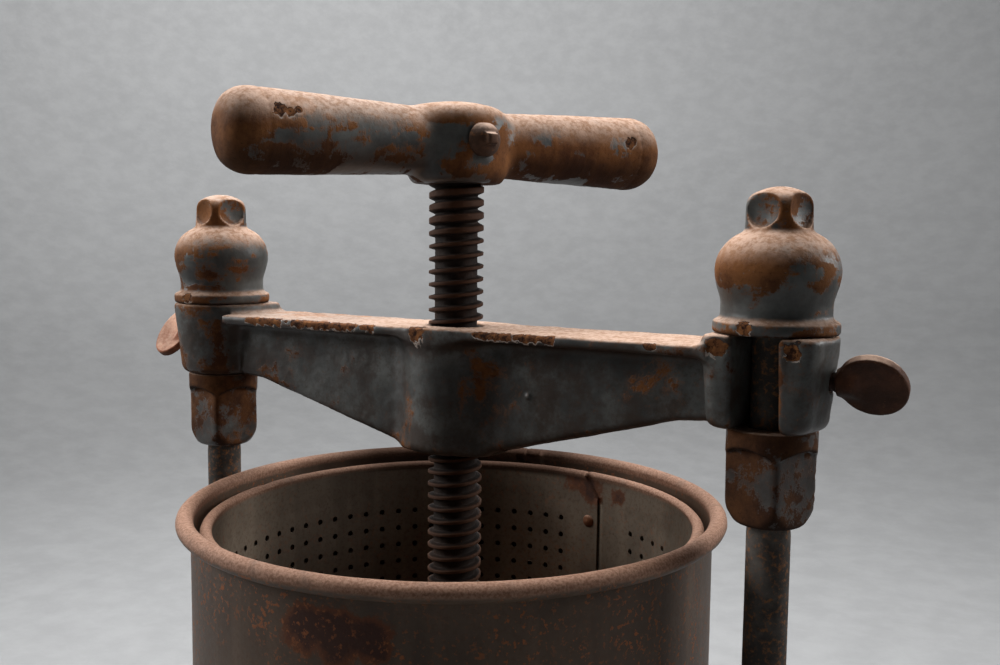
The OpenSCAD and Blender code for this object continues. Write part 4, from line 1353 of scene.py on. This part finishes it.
def build_square_nuts(node, degrees, upward):
    """Pair of square nuts with their outer corners chamfered by a cone."""
    low, high, f = grid_over(node, 0.8, 1.4)
    solid = None
    for side in SIDES:
        u, v = turned(f.x - side * ROD_X, f.y, degrees * side)
        rho = norm(u, v)
        nut = shared(shared(abs(u) - 14, abs(v) - 14, 0.8), between(f.z, low[2], high[2]), 0.6)
        gap = high[2] - f.z if upward else f.z - low[2]
        nut = shared(nut, (rho - 13.6 - 1.33 * gap) * 0.6, 0.5)
        nut = without(nut, rho - ROD_R - 0.1)
        solid = nut if solid is None else np.minimum(solid, nut)
    rust = rusty_steel(node + "_rust", (0.036, 0.017, 0.010), 0.7)
    piece = cast_piece(node + "_forging", f, solid, rust, 0.1, 37)
    finish_piece(piece, "frame", "rusty_steel", node)


def build_rod_washers():
    low, high = span("rod_washers")
    bore, edge_r, edge = ROD_R + 0.1, 18.9, 0.6
    profile = [(bore, low[2] + 0.2), (18.4, low[2]), (edge_r, low[2] + edge), (edge_r, high[2] - edge),
               (18.4, high[2]), (bore, high[2] - 0.1), (bore, low[2] + 0.2)]
    points, faces = revolved(*zip(*profile), 64)
    skins = [(points + (side * ROD_X, 0, 0), faces) for side in SIDES]
    piece = make_piece("rod_washer_pair", *joined_skins(skins), rusty_steel("rod_washers_rust"))
    finish_piece(piece, "frame", "rusty_steel", "rod_washers")


def dress_hidden_steel():
    """The wires in the curled rims and the screw's end fixings keep their CAD shapes."""
    for node in ("drum_rim_wire", "basket_rim_wire", "end_washer", "end_pin"):
        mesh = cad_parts[node].data
        mesh.materials.clear()
        mesh.materials.append(rusty_steel(node + "_rust"))


# ---------------- build

add_camera()
add_lights()
add_backdrop()
build_crosshead()
build_dome_nut(1, -19.0, 31)
build_dome_nut(-1, -13.5, 57)
build_collar(1, -22.7, 13)
build_collar(-1, -11.5, 17)
build_handle()
build_handle_pin()
build_thumb_head(1, 38.0, 13.4, (0.056, 0.020, 0.009), 23)
build_thumb_stud(1)
build_thumb_head(-1, 40.0, 11.0, (0.210, 0.072, 0.034), 29)
build_thumb_stud(-1)
build_screw()
build_rod(1)
build_rod(-1)
build_drum()
build_drum_bottom()
build_spout()
build_basket()
build_basket_bottom()
build_rivets("drum_seam_rivets", 6, rusty_steel("drum_rivets_rust", (0.05, 0.022, 0.012), 0.8))
build_rivets("basket_seam_rivets", 4, rusty_steel("basket_rivets_rust", (0.13, 0.048, 0.020), 0.9))
build_pressure_plate()
build_base()
build_square_nuts("rod_upper_nuts", 12, True)
build_square_nuts("rod_lower_nuts", 25, False)
build_rod_washers()
dress_hidden_steel()
